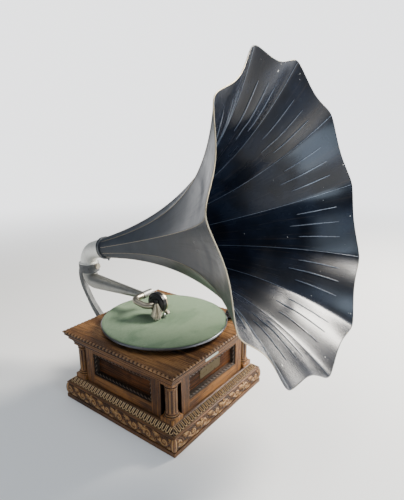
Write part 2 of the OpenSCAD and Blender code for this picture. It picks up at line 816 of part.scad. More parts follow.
// Three leaf springs bow out from the collar to the disc's sleeve
module governor_springs() {
    color(steel) at_governor() for (i = [0:2]) rotate([120 * i, 0, 0])
        rotate([90, 0, 0]) linear_extrude(4, center = true) polygon([
            [gov_collar_x + 1, 6.8], [gov_collar_x + 5, 6.8], [gov_collar_x + 9, weight_r - 0.5],
            [gov_disc_x - 9, weight_r - 0.5], [gov_disc_x - 5, 6.8], [gov_disc_x - 1, 6.8],
            [gov_disc_x - 1, 7.3], [gov_disc_x - 4.8, 7.3], [gov_disc_x - 8.8, weight_r],
            [gov_collar_x + 8.8, weight_r], [gov_collar_x + 4.8, 7.3], [gov_collar_x + 1, 7.3]]);
}

module governor_weight(i) {
    color(brass) at_governor() rotate([120 * i, 0, 0])
        translate([(gov_collar_x + gov_disc_x) / 2, 0, weight_r + 0.3])
            cylinder(r1 = 4, r2 = 4.6, h = 6);
}

module governor_weight_a() {
    governor_weight(0);
}

module governor_weight_b() {
    governor_weight(1);
}

module governor_weight_c() {
    governor_weight(2);
}

module governor_disc() {
    color(brass) at_governor() rotate([0, 90, 0]) {
        difference() {
            union() {
                translate([0, 0, gov_disc_x]) cylinder(r = 15, h = 2.5);
                translate([0, 0, gov_disc_x - 6]) cylinder(r = 6.5, h = 7);
            }
            translate([0, 0, gov_disc_x - 7]) cylinder(r = gov_shaft_r + run_clear, h = 11);
        }
    }
}

// Hangers below the bedplate: two for the governor's shaft and one for the crank's
module bearing_hangers() {
    color(cast) at_governor() for (x = [-17, gov_end_x - 6]) difference() {
        translate([x, -5, -6]) cube([5, 10, bed_z - governor_z + 6]);
        translate([x - 1, 0, 0]) bar_x(gov_shaft_r + run_clear, 7);
    }
    color(cast) translate([crank_hanger_x, barrel_pos[1], crank_z]) difference() {
        translate([0, -9, -9]) cube([7, 18, bed_z - crank_z + 9]);
        translate([-1, 0, 0]) bar_x(crank_d / 2 + run_clear, 9);
    }
}

// Motor frame
module motor_bedplate() {
    hole = 3 + run_clear;
    color(cast) difference() {
        translate([-bed_w / 2, bed_y - bed_d / 2, bed_z]) cube([bed_w, bed_d, bed_t]);
        translate([0, spindle_y, bed_z - 1]) cylinder(r = spindle_shaft_d / 2 + run_clear, h = bed_t + 2);
        for (p = [lay_pos, barrel_pos]) translate([p[0], p[1], bed_z - 1]) cylinder(r = hole, h = bed_t + 2);
        bed_screws() translate([0, 0, -bed_t - 1]) cylinder(r = screw_r + seat_clear, h = bed_t + 2);
    }
    color(cast) translate([pawl_pos[0], pawl_pos[1], ratchet_z - 1])
        cylinder(r = stud_r, h = bed_z - ratchet_z + 1.5);
}

module motor_lower_plate() {
    hole = 3 + run_clear;
    color(cast) difference() {
        union() {
            translate([-62, -34, lower_z]) cube([124, 136, plate_t]);
            translate([0, spindle_y, lower_z - 5]) cylinder(r = 8, h = 6);
        }
        translate([0, spindle_y, lower_z - 1.2]) cylinder(r = hole, h = plate_t + 5);
        for (p = [lay_pos, barrel_pos])
            translate([p[0], p[1], lower_z - 1]) cylinder(r = hole, h = plate_t + 2);
    }
}

module motor_pillars() {
    color(steel) for (p = pillar_spots) translate([p[0], p[1], lower_z + plate_t])
        cylinder(r = 4, h = bed_z - lower_z - plate_t);
}

module crank_shaft() {
    inner_x = barrel_pos[0] + crown_r - 6;
    color(steel) translate([0, barrel_pos[1], crank_z]) {
        translate([inner_x, 0, 0]) bar_x(crank_d / 2, crank_out - inner_x);
        translate([barrel_pos[0] + crown_r - 4, 0, 0]) rotate([0, 90, 0]) rotate(180)
            toothed(crank_pinion_teeth, 8);
    }
}

module crank_arm() {
    color(nickel) translate([crank_out, barrel_pos[1], crank_z]) {
        difference() {
            union() {
                translate([-12, 0, 0]) bar_x(crank_d / 2 + 4, 12 + crank_arm_t);
                translate([0, -6, -crank_throw]) cube([crank_arm_t, 12, crank_throw]);
                translate([0, 0, -crank_throw]) bar_x(7, crank_arm_t);
            }
            translate([-13, 0, 0]) bar_x(crank_d / 2 + seat_clear, 13);
        }
        translate([crank_arm_t, 0, -crank_throw]) bar_x(3, grip_len + 3);
        translate([crank_arm_t + grip_len + 1, 0, -crank_throw]) bar_x(5, 2.5);
    }
}

module crank_grip() {
    r = grip_d / 2;
    g = grip_len;
    color(oak) translate([crank_out + crank_arm_t + 0.5, barrel_pos[1], crank_z - crank_throw])
        rotate([0, 90, 0]) difference() {
            rotate_extrude() polygon([[0, 0], [r * 0.62, 0], [r * 0.7, g * 0.05], [r * 0.62, g * 0.12],
                [r * 0.8, g * 0.3], [r * 0.97, g * 0.5], [r, g * 0.66], [r * 0.92, g * 0.82],
                [r * 0.7, g * 0.94], [r * 0.5, g], [0, g]]);
            translate([0, 0, -1]) cylinder(r = 3 + run_clear, h = g + 2);
        }
}

// Brake and speed regulator on the top board
module brake_plate() {
    color(brass) translate([brake_pos[0], brake_pos[1], board_top]) rotate(brake_aim - 90) {
        translate([-14, -9, 0]) cube([28, 18, 1.5]);
        translate([0, 0, -5]) cylinder(r = 2, h = 11);
    }
}

module brake_lever() {
    color(black) translate([brake_pos[0], brake_pos[1], board_top + 1.8])
    rotate(brake_aim - 90) difference() {
        union() {
            cylinder(r = 6, h = 3.5);
            translate([0, -3, 0]) cube([30, 6, 3.5]);
            translate([30, 0, 0]) cylinder(r = 5, h = 6);
            translate([-3, 0, 0]) cube([6, brake_reach, 3.5]);
            translate([-3, brake_reach - 5, 0]) cube([6, 5, 14]);
        }
        translate([0, 0, -1]) cylinder(r = 2 + run_clear, h = 6);
    }
}

module at_regulator(z) {
    translate([regulator_pos[0], regulator_pos[1], z]) children();
}

module regulator_plate() {
    color(brass) at_regulator(board_top) tube(13, regulator_r + run_clear, 1.2);
}

// Knob on a threaded stem that reaches down to the governor's friction lever
module regulator_knob() {
    color(black) at_regulator(board_top + 1.5) {
        cylinder(r = 7, h = 5);
        translate([0, 0, -30]) cylinder(r = regulator_r, h = 31);
    }
}

// Tonearm: neck, bend, tapered tube and the cross tube that the gooseneck turns in
module arm_solid(shrink) {
    back_r = neck_r - shrink;
    front_r = arm_front_d / 2 - shrink;
    start = pivot_y - arm_bend_r;
    length = start - fold_y - shrink;
    translate([0, pivot_y, bend_z]) cylinder(r = back_r, h = ring_step + nut_h + shrink - bend_z);
    translate([0, start, bend_z]) rotate([90, 0, 90]) rotate([0, 0, -90])
        rotate_extrude(angle = 90) translate([arm_bend_r, 0]) circle(r = back_r);
    translate([0, start, arm_z]) rotate([90, 0, 0])
        cylinder(r1 = back_r, r2 = front_r, h = length);
}

module on_fold(x) {
    translate([x, fold_y, arm_z]) rotate([35, 0, 0]) rotate([0, 90, 0]) children();
}

module tonearm() {
    color(nickel) difference() {
        union() {
            arm_solid(0);
            on_fold(cross_left) rotate_extrude() polygon([[0, 0], [cross_r, 0],
                [cross_r, cross_right - cross_left], [cross_r - 2.5, cross_right - cross_left + 2],
                [0, cross_right - cross_left + 2]]);
        }
        arm_solid(arm_wall);
        on_fold(-arm_front_d)
            cylinder(r = gooseneck_d / 2 + run_clear, h = arm_front_d + cross_left + leg_in);
    }
}

module neck_nut() {
    color(nickel) translate([0, pivot_y, ring_step + 0.3])
        tube(spigot_r - 0.7, neck_r + seat_clear, nut_h - 0.3);
}

// Gooseneck: a U in a plane that holds the folding axis, from the cross tube to the soundbox.
// A window in its side lets the sound in from the tonearm.
module goose_plane() {
    translate([0, fold_y, arm_z]) rotate([fold_angle, 0, 0]) children();
}

module goose_path(r) {
    out = -goose_out;
    b = gooseneck_bend_r;
    s = goose_span;
    translate([out + b, 0, 0]) bar_x(r, cross_left + leg_in - out - b - 2);
    translate([out + b, -b, 0]) rotate([0, 0, 90]) rotate_extrude(angle = 90)
        translate([b, 0]) circle(r = r);
    translate([out, -b, 0]) rotate([90, 0, 0]) cylinder(r = r, h = s - 2 * b);
    translate([out + b, -s + b, 0]) rotate([0, 0, 180]) rotate_extrude(angle = 90)
        translate([b, 0]) circle(r = r);
    translate([out + b, -s, 0]) bar_x(r, body_x0 - 1.5 - out - b);
}

module gooseneck() {
    color(nickel) goose_plane() difference() {
        goose_path(gooseneck_d / 2);
        goose_path(gooseneck_bore / 2);
        translate([-7, 0, -4]) cube([14, gooseneck_d, 8]);
    }
}

// Soundbox: rubber back, metal body, mica diaphragm, stylus bar and needle
module at_soundbox(x) {
    translate([x, soundbox_y, soundbox_z]) rotate([0, 90, 0]) children();
}

module soundbox_rubber() {
    color(black) difference() {
        at_soundbox(body_x0 - 3) rotate_extrude() polygon([
            [gooseneck_d / 2 - 1.6, 1.5], [gooseneck_d / 2 + 1, 0], [soundbox_r - 12, 0],
            [soundbox_r - 10, 1.2], [soundbox_r - 7, 0.2], [soundbox_r - 4, 1.4],
            [soundbox_r - 3.5, 3], [gooseneck_d / 2 - 1.6, 3]]);
        goose_plane() goose_path(gooseneck_d / 2 + run_clear);
    }
}

module soundbox_body() {
    r = soundbox_r;
    t = soundbox_t;
    color(nickel) {
        at_soundbox(body_x0) rotate_extrude() polygon([
            [gooseneck_bore / 2, 0], [r - 1.5, 0], [r, 1.5], [r, t - 1.5], [r - 1.5, t],
            [r - 6, t], [r - 6, t - 3], [r - 4, t - 3.5], [r - 4, 4], [gooseneck_bore / 2, 4]]);
        for (k = [-1, 1]) along_needle(pivot_at) difference() {
            translate([body_x1 - bar_x - 3, k * 3 - 1.2, -2.2]) cube([bar_x - body_x1 + 5, 2.4, 4.4]);
            rotate([90, 0, 0]) cylinder(r = pivot_r + run_clear, h = 12, center = true);
        }
    }
}

module diaphragm() {
    color([0.75, 0.7, 0.58]) at_soundbox(body_x1 - 5) cylinder(r = soundbox_r - 4.1, h = 0.6);
}

// The bar rocks on a pin between two ears at the rim, and holds the needle's socket below it
module along_needle(start) {
    translate([bar_x, soundbox_y, soundbox_z] + needle_dir * start)
        rotate([90 + needle_tilt, 0, 0]) children();
}

module stylus_bar() {
    color(nickel) difference() {
        union() {
            along_needle(0) translate([-1, -1.5, 0]) cube([2, 3, socket_start + 1]);
            at_soundbox(body_x1 - 4.1) cylinder(r = 1.2, h = bar_x - body_x1 + 4.1);
            along_needle(pivot_at) rotate([90, 0, 0]) cylinder(r = pivot_r, h = 9, center = true);
            along_needle(socket_start) cylinder(r = 3.2, h = socket_len);
        }
        along_needle(socket_start + 1) cylinder(r = 0.8 + seat_clear, h = socket_len);
        along_needle(socket_start + 4) rotate([-90, 0, 0]) cylinder(r = 1.2 + run_clear, h = 8);
    }
}

module needle() {
    start = socket_start + 1.3;
    color(steel) along_needle(start) {
        cylinder(r = 0.8, h = needle_len - start - 4);
        translate([0, 0, needle_len - start - 4]) cylinder(r1 = 0.8, r2 = 0.15, h = 4);
    }
}

module needle_screw() {
    color(nickel) along_needle(socket_start + 4) rotate([-90, 0, 0]) {
        translate([0, 0, 1.1]) cylinder(r = 1.2, h = 4.6);
        translate([0, 0, 5.5]) cylinder(r1 = 2.6, r2 = 4.2, h = 1.2);
        translate([0, 0, 6.7]) cylinder(r = 4.2, h = 2.6);
    }
}

// Brush: a holder clamped on the gooseneck and a fan of bristles down to the record
module brush_holder() {
    clamp_x = -19;
    color(brass) difference() {
        union() {
            translate([clamp_x, soundbox_y, soundbox_z]) bar_x(gooseneck_d / 2 + 1.6, 5);
            translate([clamp_x, brush_top[1] - 1.5, soundbox_z + 5.5]) cube([4, 12, 3]);
            translate([brush_top[0], brush_top[1], soundbox_z + 5.5]) cylinder(r = 3.4, h = 8);
        }
        goose_plane() goose_path(gooseneck_d / 2 + run_clear);
        translate([brush_top[0], brush_top[1], soundbox_z + 4.5]) cylinder(r = 2.6, h = 6);
    }
}

// Bristle i starts on a sunflower spiral in the holder and ends on a wider one
function spot(i, rx, ry) = let (r = sqrt((i + 0.5) / bristles), a = golden * i)
    [rx * r * cos(a), ry * r * sin(a)];

function strand_ring(c, r) = [for (k = [0:2]) [c[0] + r * cos(120 * k), c[1] + r * sin(120 * k), c[2]]];

function strand_points(i) = let (
        a = spot(i, 2.1, 2.1),
        b = spot(i, 11.5, 6.6),
        short = 1.6 * ((i * 7) % 11) / 11,
        low = brush_low + [b[0], b[1], short],
        high = [brush_top[0] + a[0], brush_top[1] + a[1], soundbox_z + 5.5]
    ) concat(strand_ring(high, 0.08), strand_ring(low, 0.17));

module brush_bristles() {
    sides = [for (i = [0:bristles - 1]) each [
        [0, 2, 1] + [1, 1, 1] * 6 * i, [3, 4, 5] + [1, 1, 1] * 6 * i,
        [0, 1, 4] + [1, 1, 1] * 6 * i, [0, 4, 3] + [1, 1, 1] * 6 * i,
        [1, 2, 5] + [1, 1, 1] * 6 * i, [1, 5, 4] + [1, 1, 1] * 6 * i,
        [2, 0, 3] + [1, 1, 1] * 6 * i, [2, 3, 5] + [1, 1, 1] * 6 * i]];
    color([0.86, 0.82, 0.7]) union() {
        polyhedron([for (i = [0:bristles - 1]) each strand_points(i)], sides);
        translate([brush_top[0], brush_top[1], soundbox_z + 5.2]) cylinder(r = 2.5, h = 5.3);
    }
}

// Horn elbow on the bracket's ring
module elbow_path(r) {
    translate([0, pivot_y - elbow_bend_r, elbow_base]) rotate([90, 0, 90])
        rotate_extrude(angle = elbow_turn) translate([elbow_bend_r, 0]) circle(r = r);
}

module along_horn() {
    translate([0, throat_y, throat_z]) rotate([90 - horn_rise, 0, 0]) children();
}

module horn_elbow() {
    r = elbow_d / 2;
    bore = r - elbow_wall;
    step = 0.5;
    end_bore = spigot_end_r - elbow_wall;
    neck = horn_neck_len - 2;
    color(cast) {
        difference() {
            union() {
                elbow_path(r);
                translate([0, pivot_y, ring_top + 0.3]) cylinder(r = ring_d / 2 - 0.5, h = flange_t);
                translate([0, pivot_y, ring_top - spigot_len]) cylinder(r = spigot_r, h = spigot_len + 1);
            }
            elbow_path(bore);
            translate([0, pivot_y, ring_top - spigot_len - 1])
                cylinder(r = bore, h = elbow_base - ring_top + spigot_len + 1);
        }
        along_horn() rotate(45) rotate_extrude() polygon([[bore + step, -elbow_straight - step],
            [r + step, -elbow_straight - step], [spigot_end_r, 0], [spigot_end_r, neck],
            [end_bore, neck], [end_bore, 0]]);
    }
}

module horn_collar() {
    color(black) along_horn() difference() {
        union() {
            translate([0, 0, 1]) cylinder(r = throat_r + 2.6, h = horn_neck_len - 2);
            translate([0, 0, horn_neck_len / 2]) rotate([90, 0, 0]) cylinder(r = 2.6, h = throat_r + 7);
        }
        translate([0, 0, -1]) cylinder(r = throat_r + 0.05, h = horn_neck_len + 2);
    }
}

// Horn bell: outer radius at a distance s along the flare, and the shape of its petals
function bell_r(s) = s <= 0 ? throat_r :
    throat_r + (flare_r - throat_r) * (exp(flare_rate * s / flare_len) - 1) / (exp(flare_rate) - 1);

function petal_dip(s) = let (t = max(0, s / flare_len))
    flat_dip * min(1, t * 4) + (scallop - flat_dip) * pow(t, 6);

function petal_wave(a) = abs(sin(petals * (a - seam_phase) / 2));

function bell_point(s, a, inset) = let (
        slope = (bell_r(s + 1) - bell_r(s)),
        n = norm([1, slope]),
        r = bell_r(s) * (1 - petal_dip(s) * petal_wave(a)) - inset / n,
        along = s + inset * slope / n,
        t = max(0, s / flare_len),
        x = r * sin(a)
    ) [x, r * cos(a), along - x * tan(mouth_turn) * t * t];

function bell_s(i) = i == 0 ? -horn_neck_len : flare_len * pow((i - 1) / (flare_steps - 1), 0.85);

// One petal of sheet between two seams, as an outer and an inner skin with edges between
module petal(k) {
    rows = flare_steps + 1;
    cols = across + 1;
    count = rows * cols;
    points = [for (inset = [0, horn_wall], i = [0:rows - 1], j = [0:across])
        let (s = bell_s(i), edge = seam_gap / bell_r(s) * 180 / PI, wide = 360 / petals - 2 * edge)
        bell_point(s, seam_phase + 360 / petals * k + edge + wide * j / across, inset)];
    skins = [for (i = [0:rows - 2], j = [0:across - 1]) let (
            a = i * cols + j, b = a + 1, c = a + cols, d = c + 1)
        each [[a, c, b], [b, c, d], [a + count, b + count, c + count],
              [b + count, d + count, c + count]]];
    ends = [for (j = [0:across - 1]) let (n = j + 1, e = (rows - 1) * cols)
        each [[j, n, j + count], [n, n + count, j + count],
              [e + j, e + j + count, e + n], [e + n, e + j + count, e + n + count]]];
    seams = [for (i = [0:rows - 2]) let (a = i * cols, c = a + cols, b = a + across, d = c + across)
        each [[a, a + count, c], [c, a + count, c + count],
              [b, d, b + count], [d, d + count, b + count]]];
    polyhedron(points, concat(skins, ends, seams));
}

module horn_bell() {
    color(horn_paint) along_horn() translate([0, 0, horn_neck_len])
        for (k = [0:petals - 1]) petal(k);
}

base_board();
plinth_moulding();
tongue_moulding();
panel_frames();
side_panels();
panel_mouldings();
back_board();
corner_posts();
corner_columns();
cornice();
top_board();
front_plate();
case_screws();
crank_escutcheon();
horn_bracket();
motor_bedplate();
motor_lower_plate();
motor_pillars();
bearing_hangers();
brake_plate();
regulator_plate();
regulator_knob();
platter();
platter_felt();
spindle();
worm_wheel();
layshaft();
layshaft_wheel();
spring_barrel();
barrel_cover();
mainspring();
winding_arbor();
crown_wheel();
ratchet_wheel();
ratchet_pawl();
governor_shaft();
governor_springs();
governor_weight_a();
governor_weight_b();
governor_weight_c();
governor_disc();
crank_shaft();
crank_arm();
crank_grip();
tonearm();
neck_nut();
gooseneck();
soundbox_body();
soundbox_rubber();
diaphragm();
stylus_bar();
needle();
needle_screw();
brush_holder();
brush_bristles();
horn_elbow();
horn_collar();
horn_bell();
elbow_thumbscrew();
brake_lever();
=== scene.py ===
# Looks of a wind-up horn gramophone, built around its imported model.
# Sizes are in millimetres; a mesh is scaled to metres when it is made.
import math
import bpy
import numpy as np
from mathutils import Matrix, Vector
from mathutils.geometry import tessellate_polygon


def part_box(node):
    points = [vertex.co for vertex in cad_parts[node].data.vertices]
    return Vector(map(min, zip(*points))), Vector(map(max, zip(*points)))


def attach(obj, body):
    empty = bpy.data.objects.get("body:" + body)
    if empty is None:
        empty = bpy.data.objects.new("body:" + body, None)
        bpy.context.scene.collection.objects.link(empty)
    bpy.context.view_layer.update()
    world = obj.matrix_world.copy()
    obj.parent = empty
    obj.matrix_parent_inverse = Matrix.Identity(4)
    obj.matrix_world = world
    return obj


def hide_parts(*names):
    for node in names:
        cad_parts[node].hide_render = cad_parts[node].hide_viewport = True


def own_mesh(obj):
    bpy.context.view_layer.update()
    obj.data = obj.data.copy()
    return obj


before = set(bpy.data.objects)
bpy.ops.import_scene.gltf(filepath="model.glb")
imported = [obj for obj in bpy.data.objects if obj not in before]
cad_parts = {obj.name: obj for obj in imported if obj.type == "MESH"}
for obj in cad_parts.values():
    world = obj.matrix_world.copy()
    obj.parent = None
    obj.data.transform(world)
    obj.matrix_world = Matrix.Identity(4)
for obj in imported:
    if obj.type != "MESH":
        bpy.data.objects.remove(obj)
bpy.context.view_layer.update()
MM = 0.001
TURN = 2 * math.pi

# Places that the model gives, repeated from the part's source: the case, the turntable, the horn
PLINTH_TOP, FRAME_Z, FRAME_TOP, LID_Z, LID_TOP = 44, 56, 149, 174, 182
BASE_T, LID_HALF, INNER = 10, 171.5, 128
PANEL_Y, OPENING_HALF, OPENING_LOW, OPENING_TOP = 138, 93, 80, 138
COLUMN_C, COLUMN_BLOCK, COLUMN_R = 139, 34, 13
FRAME_HALF = 119
PLATTER_R, PLATTER_TOP, FELT_TOP, SPINDLE_Y = 152.4, 199.0, 200.2, -3.4
BRUSH_X, BRUSH_Y, BRUSH_TOP_Z = -19, 4.1, 240.5
PIVOT_Y, ELBOW_Z, ELBOW_BEND, ELBOW_REACH = 268, 289.4, 47, 35.5
HORN_RISE, THROAT_R, FLARE_R = 14.5, 27, 293.5
FLARE_LEN, NECK_LEN, HORN_WALL, FLARE_RATE = 543.5, 12, 0.8, 2.6
PETALS, SCALLOP, MOUTH_TURN, SEAM_PHASE = 11, 0.08, 1.6, 18.5
FLAT_DIP = 1 - math.cos(math.pi / PETALS)

# Where the elbow ends and the horn's axis starts, and how the axis leans
RISE, LEAN = math.radians(HORN_RISE), math.radians(90 - HORN_RISE)
LEAN_COS, LEAN_SIN = math.cos(LEAN), math.sin(LEAN)
THROAT_Y = PIVOT_Y - ELBOW_BEND * (1 - LEAN_COS) - ELBOW_REACH * math.cos(RISE)
THROAT_Z = ELBOW_Z + ELBOW_BEND * LEAN_SIN + ELBOW_REACH * math.sin(RISE)

# Finish names that several pieces share
OILED, STAINED = "oiled_quarter_sawn_oak_wood", "dark_stained_carved_oak_wood"
PAINTED = "glossy_blue_black_paint_painted_metal"
FELTED = "sage_green_felt_fabric"


def put(name, data):
    """A new object in the scene."""
    made = bpy.data.objects.new(name, data)
    bpy.context.scene.collection.objects.link(made)
    return made


def set_camera():
    """The photograph's camera, fitted to the case, the platter and the horn's petal tips."""
    wide, high, focal, centre_x, centre_y = 404, 500, 429.03, 180.94, 263.22  # pixels
    yaw, pitch, roll = (math.radians(a) for a in (39.19, 17.57, -1.13))
    stand = (-0.7132, -0.6399, 0.6405)  # metres
    ahead = Vector((math.cos(yaw) * math.cos(pitch), math.sin(yaw) * math.cos(pitch),
                    -math.sin(pitch)))
    side = Vector((math.sin(yaw), -math.cos(yaw), 0))
    up = side.cross(ahead)
    across = side * math.cos(roll) + up * math.sin(roll)
    upward = up * math.cos(roll) - side * math.sin(roll)
    data = bpy.data.cameras.new("photo_view")
    data.sensor_width = 36
    data.lens = focal / high * data.sensor_width
    data.shift_x = (wide / 2 - centre_x) / high
    data.shift_y = (centre_y - high / 2) / high
    camera = put("photo_view", data)
    camera.matrix_world = (Matrix.Translation(stand)
                           @ Matrix((across, upward, -ahead)).transposed().to_4x4())
    bpy.context.scene.camera = camera


set_camera()


# Shader maths
def math_node(operation, swapped=False):
    """An operator of Wire that adds one Math node."""
    def act(self, *other):
        return self.finish.calc(operation, *((*other, self) if swapped else (self, *other)))
    return act


class Wire:
    """One output socket in a finish; arithmetic on it adds Math nodes."""

    def __init__(self, finish, socket):
        self.finish, self.socket = finish, socket

    __add__ = __radd__ = math_node("ADD")
    __mul__ = __rmul__ = math_node("MULTIPLY")
    __sub__, __rsub__ = math_node("SUBTRACT"), math_node("SUBTRACT", swapped=True)
    __truediv__, __pow__ = math_node("DIVIDE"), math_node("POWER")
    __abs__, __gt__ = math_node("ABSOLUTE"), math_node("GREATER_THAN")


class Finish:
    """One material, or the world, under construction."""

    def __init__(self, name, world=None):
        self.material = world or bpy.data.materials.new(name)
        self.material.use_nodes = True
        self.tree = self.material.node_tree
        self.tree.nodes.clear()
        if world:
            return
        place = self.node("ShaderNodeTexCoord", out="Object")
        self.place = self.node("ShaderNodeVectorMath", {"operation": "SCALE"},
                               {0: place, "Scale": 1000.0})

    def node(self, kind, settings=None, inputs=None, out=0):
        """Adds one node: its settings first, then the values or links of its sockets."""
        made = self.tree.nodes.new(kind)
        for key, value in (settings or {}).items():
            setattr(made, key, value)
        for key, value in (inputs or {}).items():
            if isinstance(value, Wire):
                self.tree.links.new(value.socket, made.inputs[key])
            elif value is not None:
                colour = made.inputs[key].type == "RGBA"
                made.inputs[key].default_value = (*value, 1) if colour else value
        return Wire(self, made.outputs[out])

    def calc(self, operation, *values):
        return self.node("ShaderNodeMath", {"operation": operation}, dict(enumerate(values)))

    def parts(self, vector):
        """The three numbers of a vector."""
        split = self.node("ShaderNodeSeparateXYZ", None, {0: vector}).socket.node
        return [Wire(self, out) for out in split.outputs]

    def along(self, direction, start):
        """How far a place lies along a direction, from a start."""
        x, y, z = self.parts(self.place)
        return x * direction[0] + y * direction[1] + z * direction[2] - start

    def join(self, x, y, z):
        return self.node("ShaderNodeCombineXYZ", None, {0: x, 1: y, 2: z})

    def stretch(self, vector, x, y, z):
        return self.node("ShaderNodeVectorMath", {"operation": "MULTIPLY"},
                         {0: vector, 1: (x, y, z)})

    def noise(self, vector, size, detail, rough=0.5, twist=0.0):
        """Noise whose lumps are about that many millimetres across."""
        return self.node("ShaderNodeTexNoise", None,
                         {"Vector": vector, "Scale": 1 / size, "Detail": detail,
                          "Roughness": rough, "Distortion": twist})

    def rise(self, value, low, high):
        """Goes smoothly from 0 to 1 while value goes from low to high."""
        return self.node("ShaderNodeMapRange", {"interpolation_type": "SMOOTHSTEP"},
                         {0: value, 1: low, 2: high})

    def mix(self, mask, a, b):
        """Colour a where mask is 0 and b where it is 1."""
        return self.node("ShaderNodeMix", {"data_type": "RGBA"}, {0: mask, 6: a, 7: b}, 2)

    def shade(self, mask, colour, tint):
        """Colour multiplied by tint where mask is 1."""
        return self.node("ShaderNodeMix", {"data_type": "RGBA", "blend_type": "MULTIPLY"},
                         {0: mask, 6: colour, 7: tint}, 2)

    def mark(self):
        """The mark at the mesh's points; 0 on a mesh without it."""
        return self.node("ShaderNodeAttribute", {"attribute_name": "hollow"}, None, "Fac")

    def done(self, colour, rough, height=None, depth=0.0, metal=0.0, coat=None, **fixed):
        """The shader: colour and roughness, a bump of that depth in mm, and constants."""
        normal = None
        if height is not None:
            normal = self.node("ShaderNodeBump", None,
                               {"Strength": 1.0, "Distance": depth * MM, "Height": height})
        inputs = {"Base Color": colour, "Roughness": rough, "Metallic": metal,
                  "Normal": normal, "Coat Weight": coat}
        inputs.update({key.replace("_", " "): value for key, value in fixed.items()})
        self.surface(self.node("ShaderNodeBsdfPrincipled", None, inputs))
        return self.material

    def surface(self, shader, end="ShaderNodeOutputMaterial"):
        output = self.tree.nodes.new(end)
        self.tree.links.new(shader.socket, output.inputs["Surface"])


# Finishes
def along_grain(f, way):
    """Place as (along the grain, across it, into the wood) for the parts of the case."""
    next_stile, next_side = 37, 91  # so that no two boards have the same figure
    x, y, z = f.parts(f.place)
    on_side = abs(x) > abs(y)
    run = x + (y - x) * on_side
    out = y + (x - y) * on_side
    if way == "lid":
        return f.join(y, x, z)
    if way == "upright":
        return f.join(z, run, out)
    if way == "frame":
        stile = abs(run) > OPENING_HALF
        return f.join(run + (z - run) * stile, z + (run - z) * stile, out + stile * next_stile)
    return f.join(run, z, out + on_side * next_side)


def oak(name, way, light, dark, gloss, pores=1.0, lines=1.0, worn=None, coat=0.0, shine=0.3):
    """Quarter-sawn oak: straight grain, long dark lines, short pores, ray flecks, wear with painted
    highlight, and painted shade.
    """
    f = Finish(name)
    grain = along_grain(f, way)
    wavy = f.noise(f.stretch(grain, 0.05, 0.12, 0.12), 4, 2)
    bent = f.node("ShaderNodeVectorMath", {"operation": "ADD"},
                  {0: grain, 1: f.join(0.0, wavy * 6.0, 0.0)})
    streak = f.noise(f.stretch(bent, 0.03, 1, 1), 2.8, 4, 0.62)
    line = f.rise(f.noise(f.stretch(bent, 0.014, 0.8, 0.8), 2.1, 3, 0.62), 0.525, 0.62)
    broad = f.noise(f.stretch(grain, 0.25, 1, 1), 46, 2)
    pore = f.rise(f.noise(f.stretch(bent, 0.075, 1.5, 1.5), 0.85, 2), 0.56, 0.68)
    ray = f.rise(f.noise(f.stretch(bent, 0.16, 0.5, 1), 2.6, 2, 0.6, 0.8), 0.63, 0.72)
    hollow = f.mark()
    colour = f.mix(f.rise(streak * 0.8 + broad * 0.5, 0.52, 0.8), dark, light)
    colour = f.mix(ray * 0.3, colour, tuple(min(1, c * 1.8) for c in light))
    colour = f.shade(line * (0.78 * lines), colour, (0.30, 0.22, 0.17))
    colour = f.shade(pore * (0.6 * pores), colour, (0.32, 0.24, 0.18))
    grime = f.noise(f.place, 21, 4, 0.6)
    colour = f.shade(f.rise(grime, 0.5, 0.7) * 0.5, colour, (0.42, 0.34, 0.28))
    # Below 0 the mark moves towards the worn colour: wear, and painted highlight on ridges.
    wear_and_highlight = f.rise(hollow, -0.1, -0.9)
    colour = f.mix(wear_and_highlight * 0.75, colour, worn or tuple(min(1, c * 1.5) for c in light))
    # Above 0 the mark darkens: painted shade in hollows.
    colour = f.shade(f.rise(hollow, 0.0, 0.8), colour, (0.13, 0.10, 0.08))
    # Near-black on the frames' ends beside the columns: painted shade in the gaps there.
    if way == "frame":
        x, y = f.parts(f.place)[:2]
        beside = f.calc("MINIMUM", abs(x), abs(y))
        colour = f.shade(f.rise(beside, FRAME_HALF - 0.6, FRAME_HALF - 0.2), colour,
                         (0.05, 0.04, 0.03))
    rough = gloss + streak * 0.16 + f.rise(hollow, 0.1, 0.8) * 0.25 - wear_and_highlight * 0.12
    height = streak * 0.5 - pore * 0.8 - line * 0.5 + grime * 0.2
    return f.done(colour, rough, height, 0.25, coat=coat, Coat_Roughness=0.25,
                  Specular_IOR_Level=shine)


def metal(name, colour, rough, spots, tarnish=(0.5, 0.45, 0.38), grain=0.05, lumps=0.0,
          brushed=None):
    """A metal with smears, tarnish spots and a fine cast or brushed surface."""
    f = Finish(name)
    smear = f.noise(f.place, 24, 4, 0.6)
    fine = (f.noise(f.stretch(f.place, *brushed), 0.5, 3, 0.6) if brushed
            else f.noise(f.place, 1.1, 3, 0.6))
    spot = f.rise(f.noise(f.place, 5.5, 4, 0.65), 0.56, 0.72)
    tint = f.shade(spot * spots, colour, tarnish)
    tint = f.shade(f.rise(smear, 0.35, 0.75) * 0.35, tint, (0.72, 0.7, 0.66))
    roughness = rough + smear * 0.16 + spot * (spots * 0.35) - 0.08
    return f.done(tint, roughness, fine + smear * lumps, grain, metal=1.0)


def horn_axes(f):
    """The place in the horn's own frame: to the side, up from the axis, and along it."""
    side = f.parts(f.place)[0]
    return (side, f.along((0, LEAN_COS, LEAN_SIN), LEAN_COS * THROAT_Y + LEAN_SIN * THROAT_Z),
            f.along((0, -LEAN_SIN, LEAN_COS),
                    LEAN_COS * THROAT_Z - LEAN_SIN * THROAT_Y + NECK_LEN))


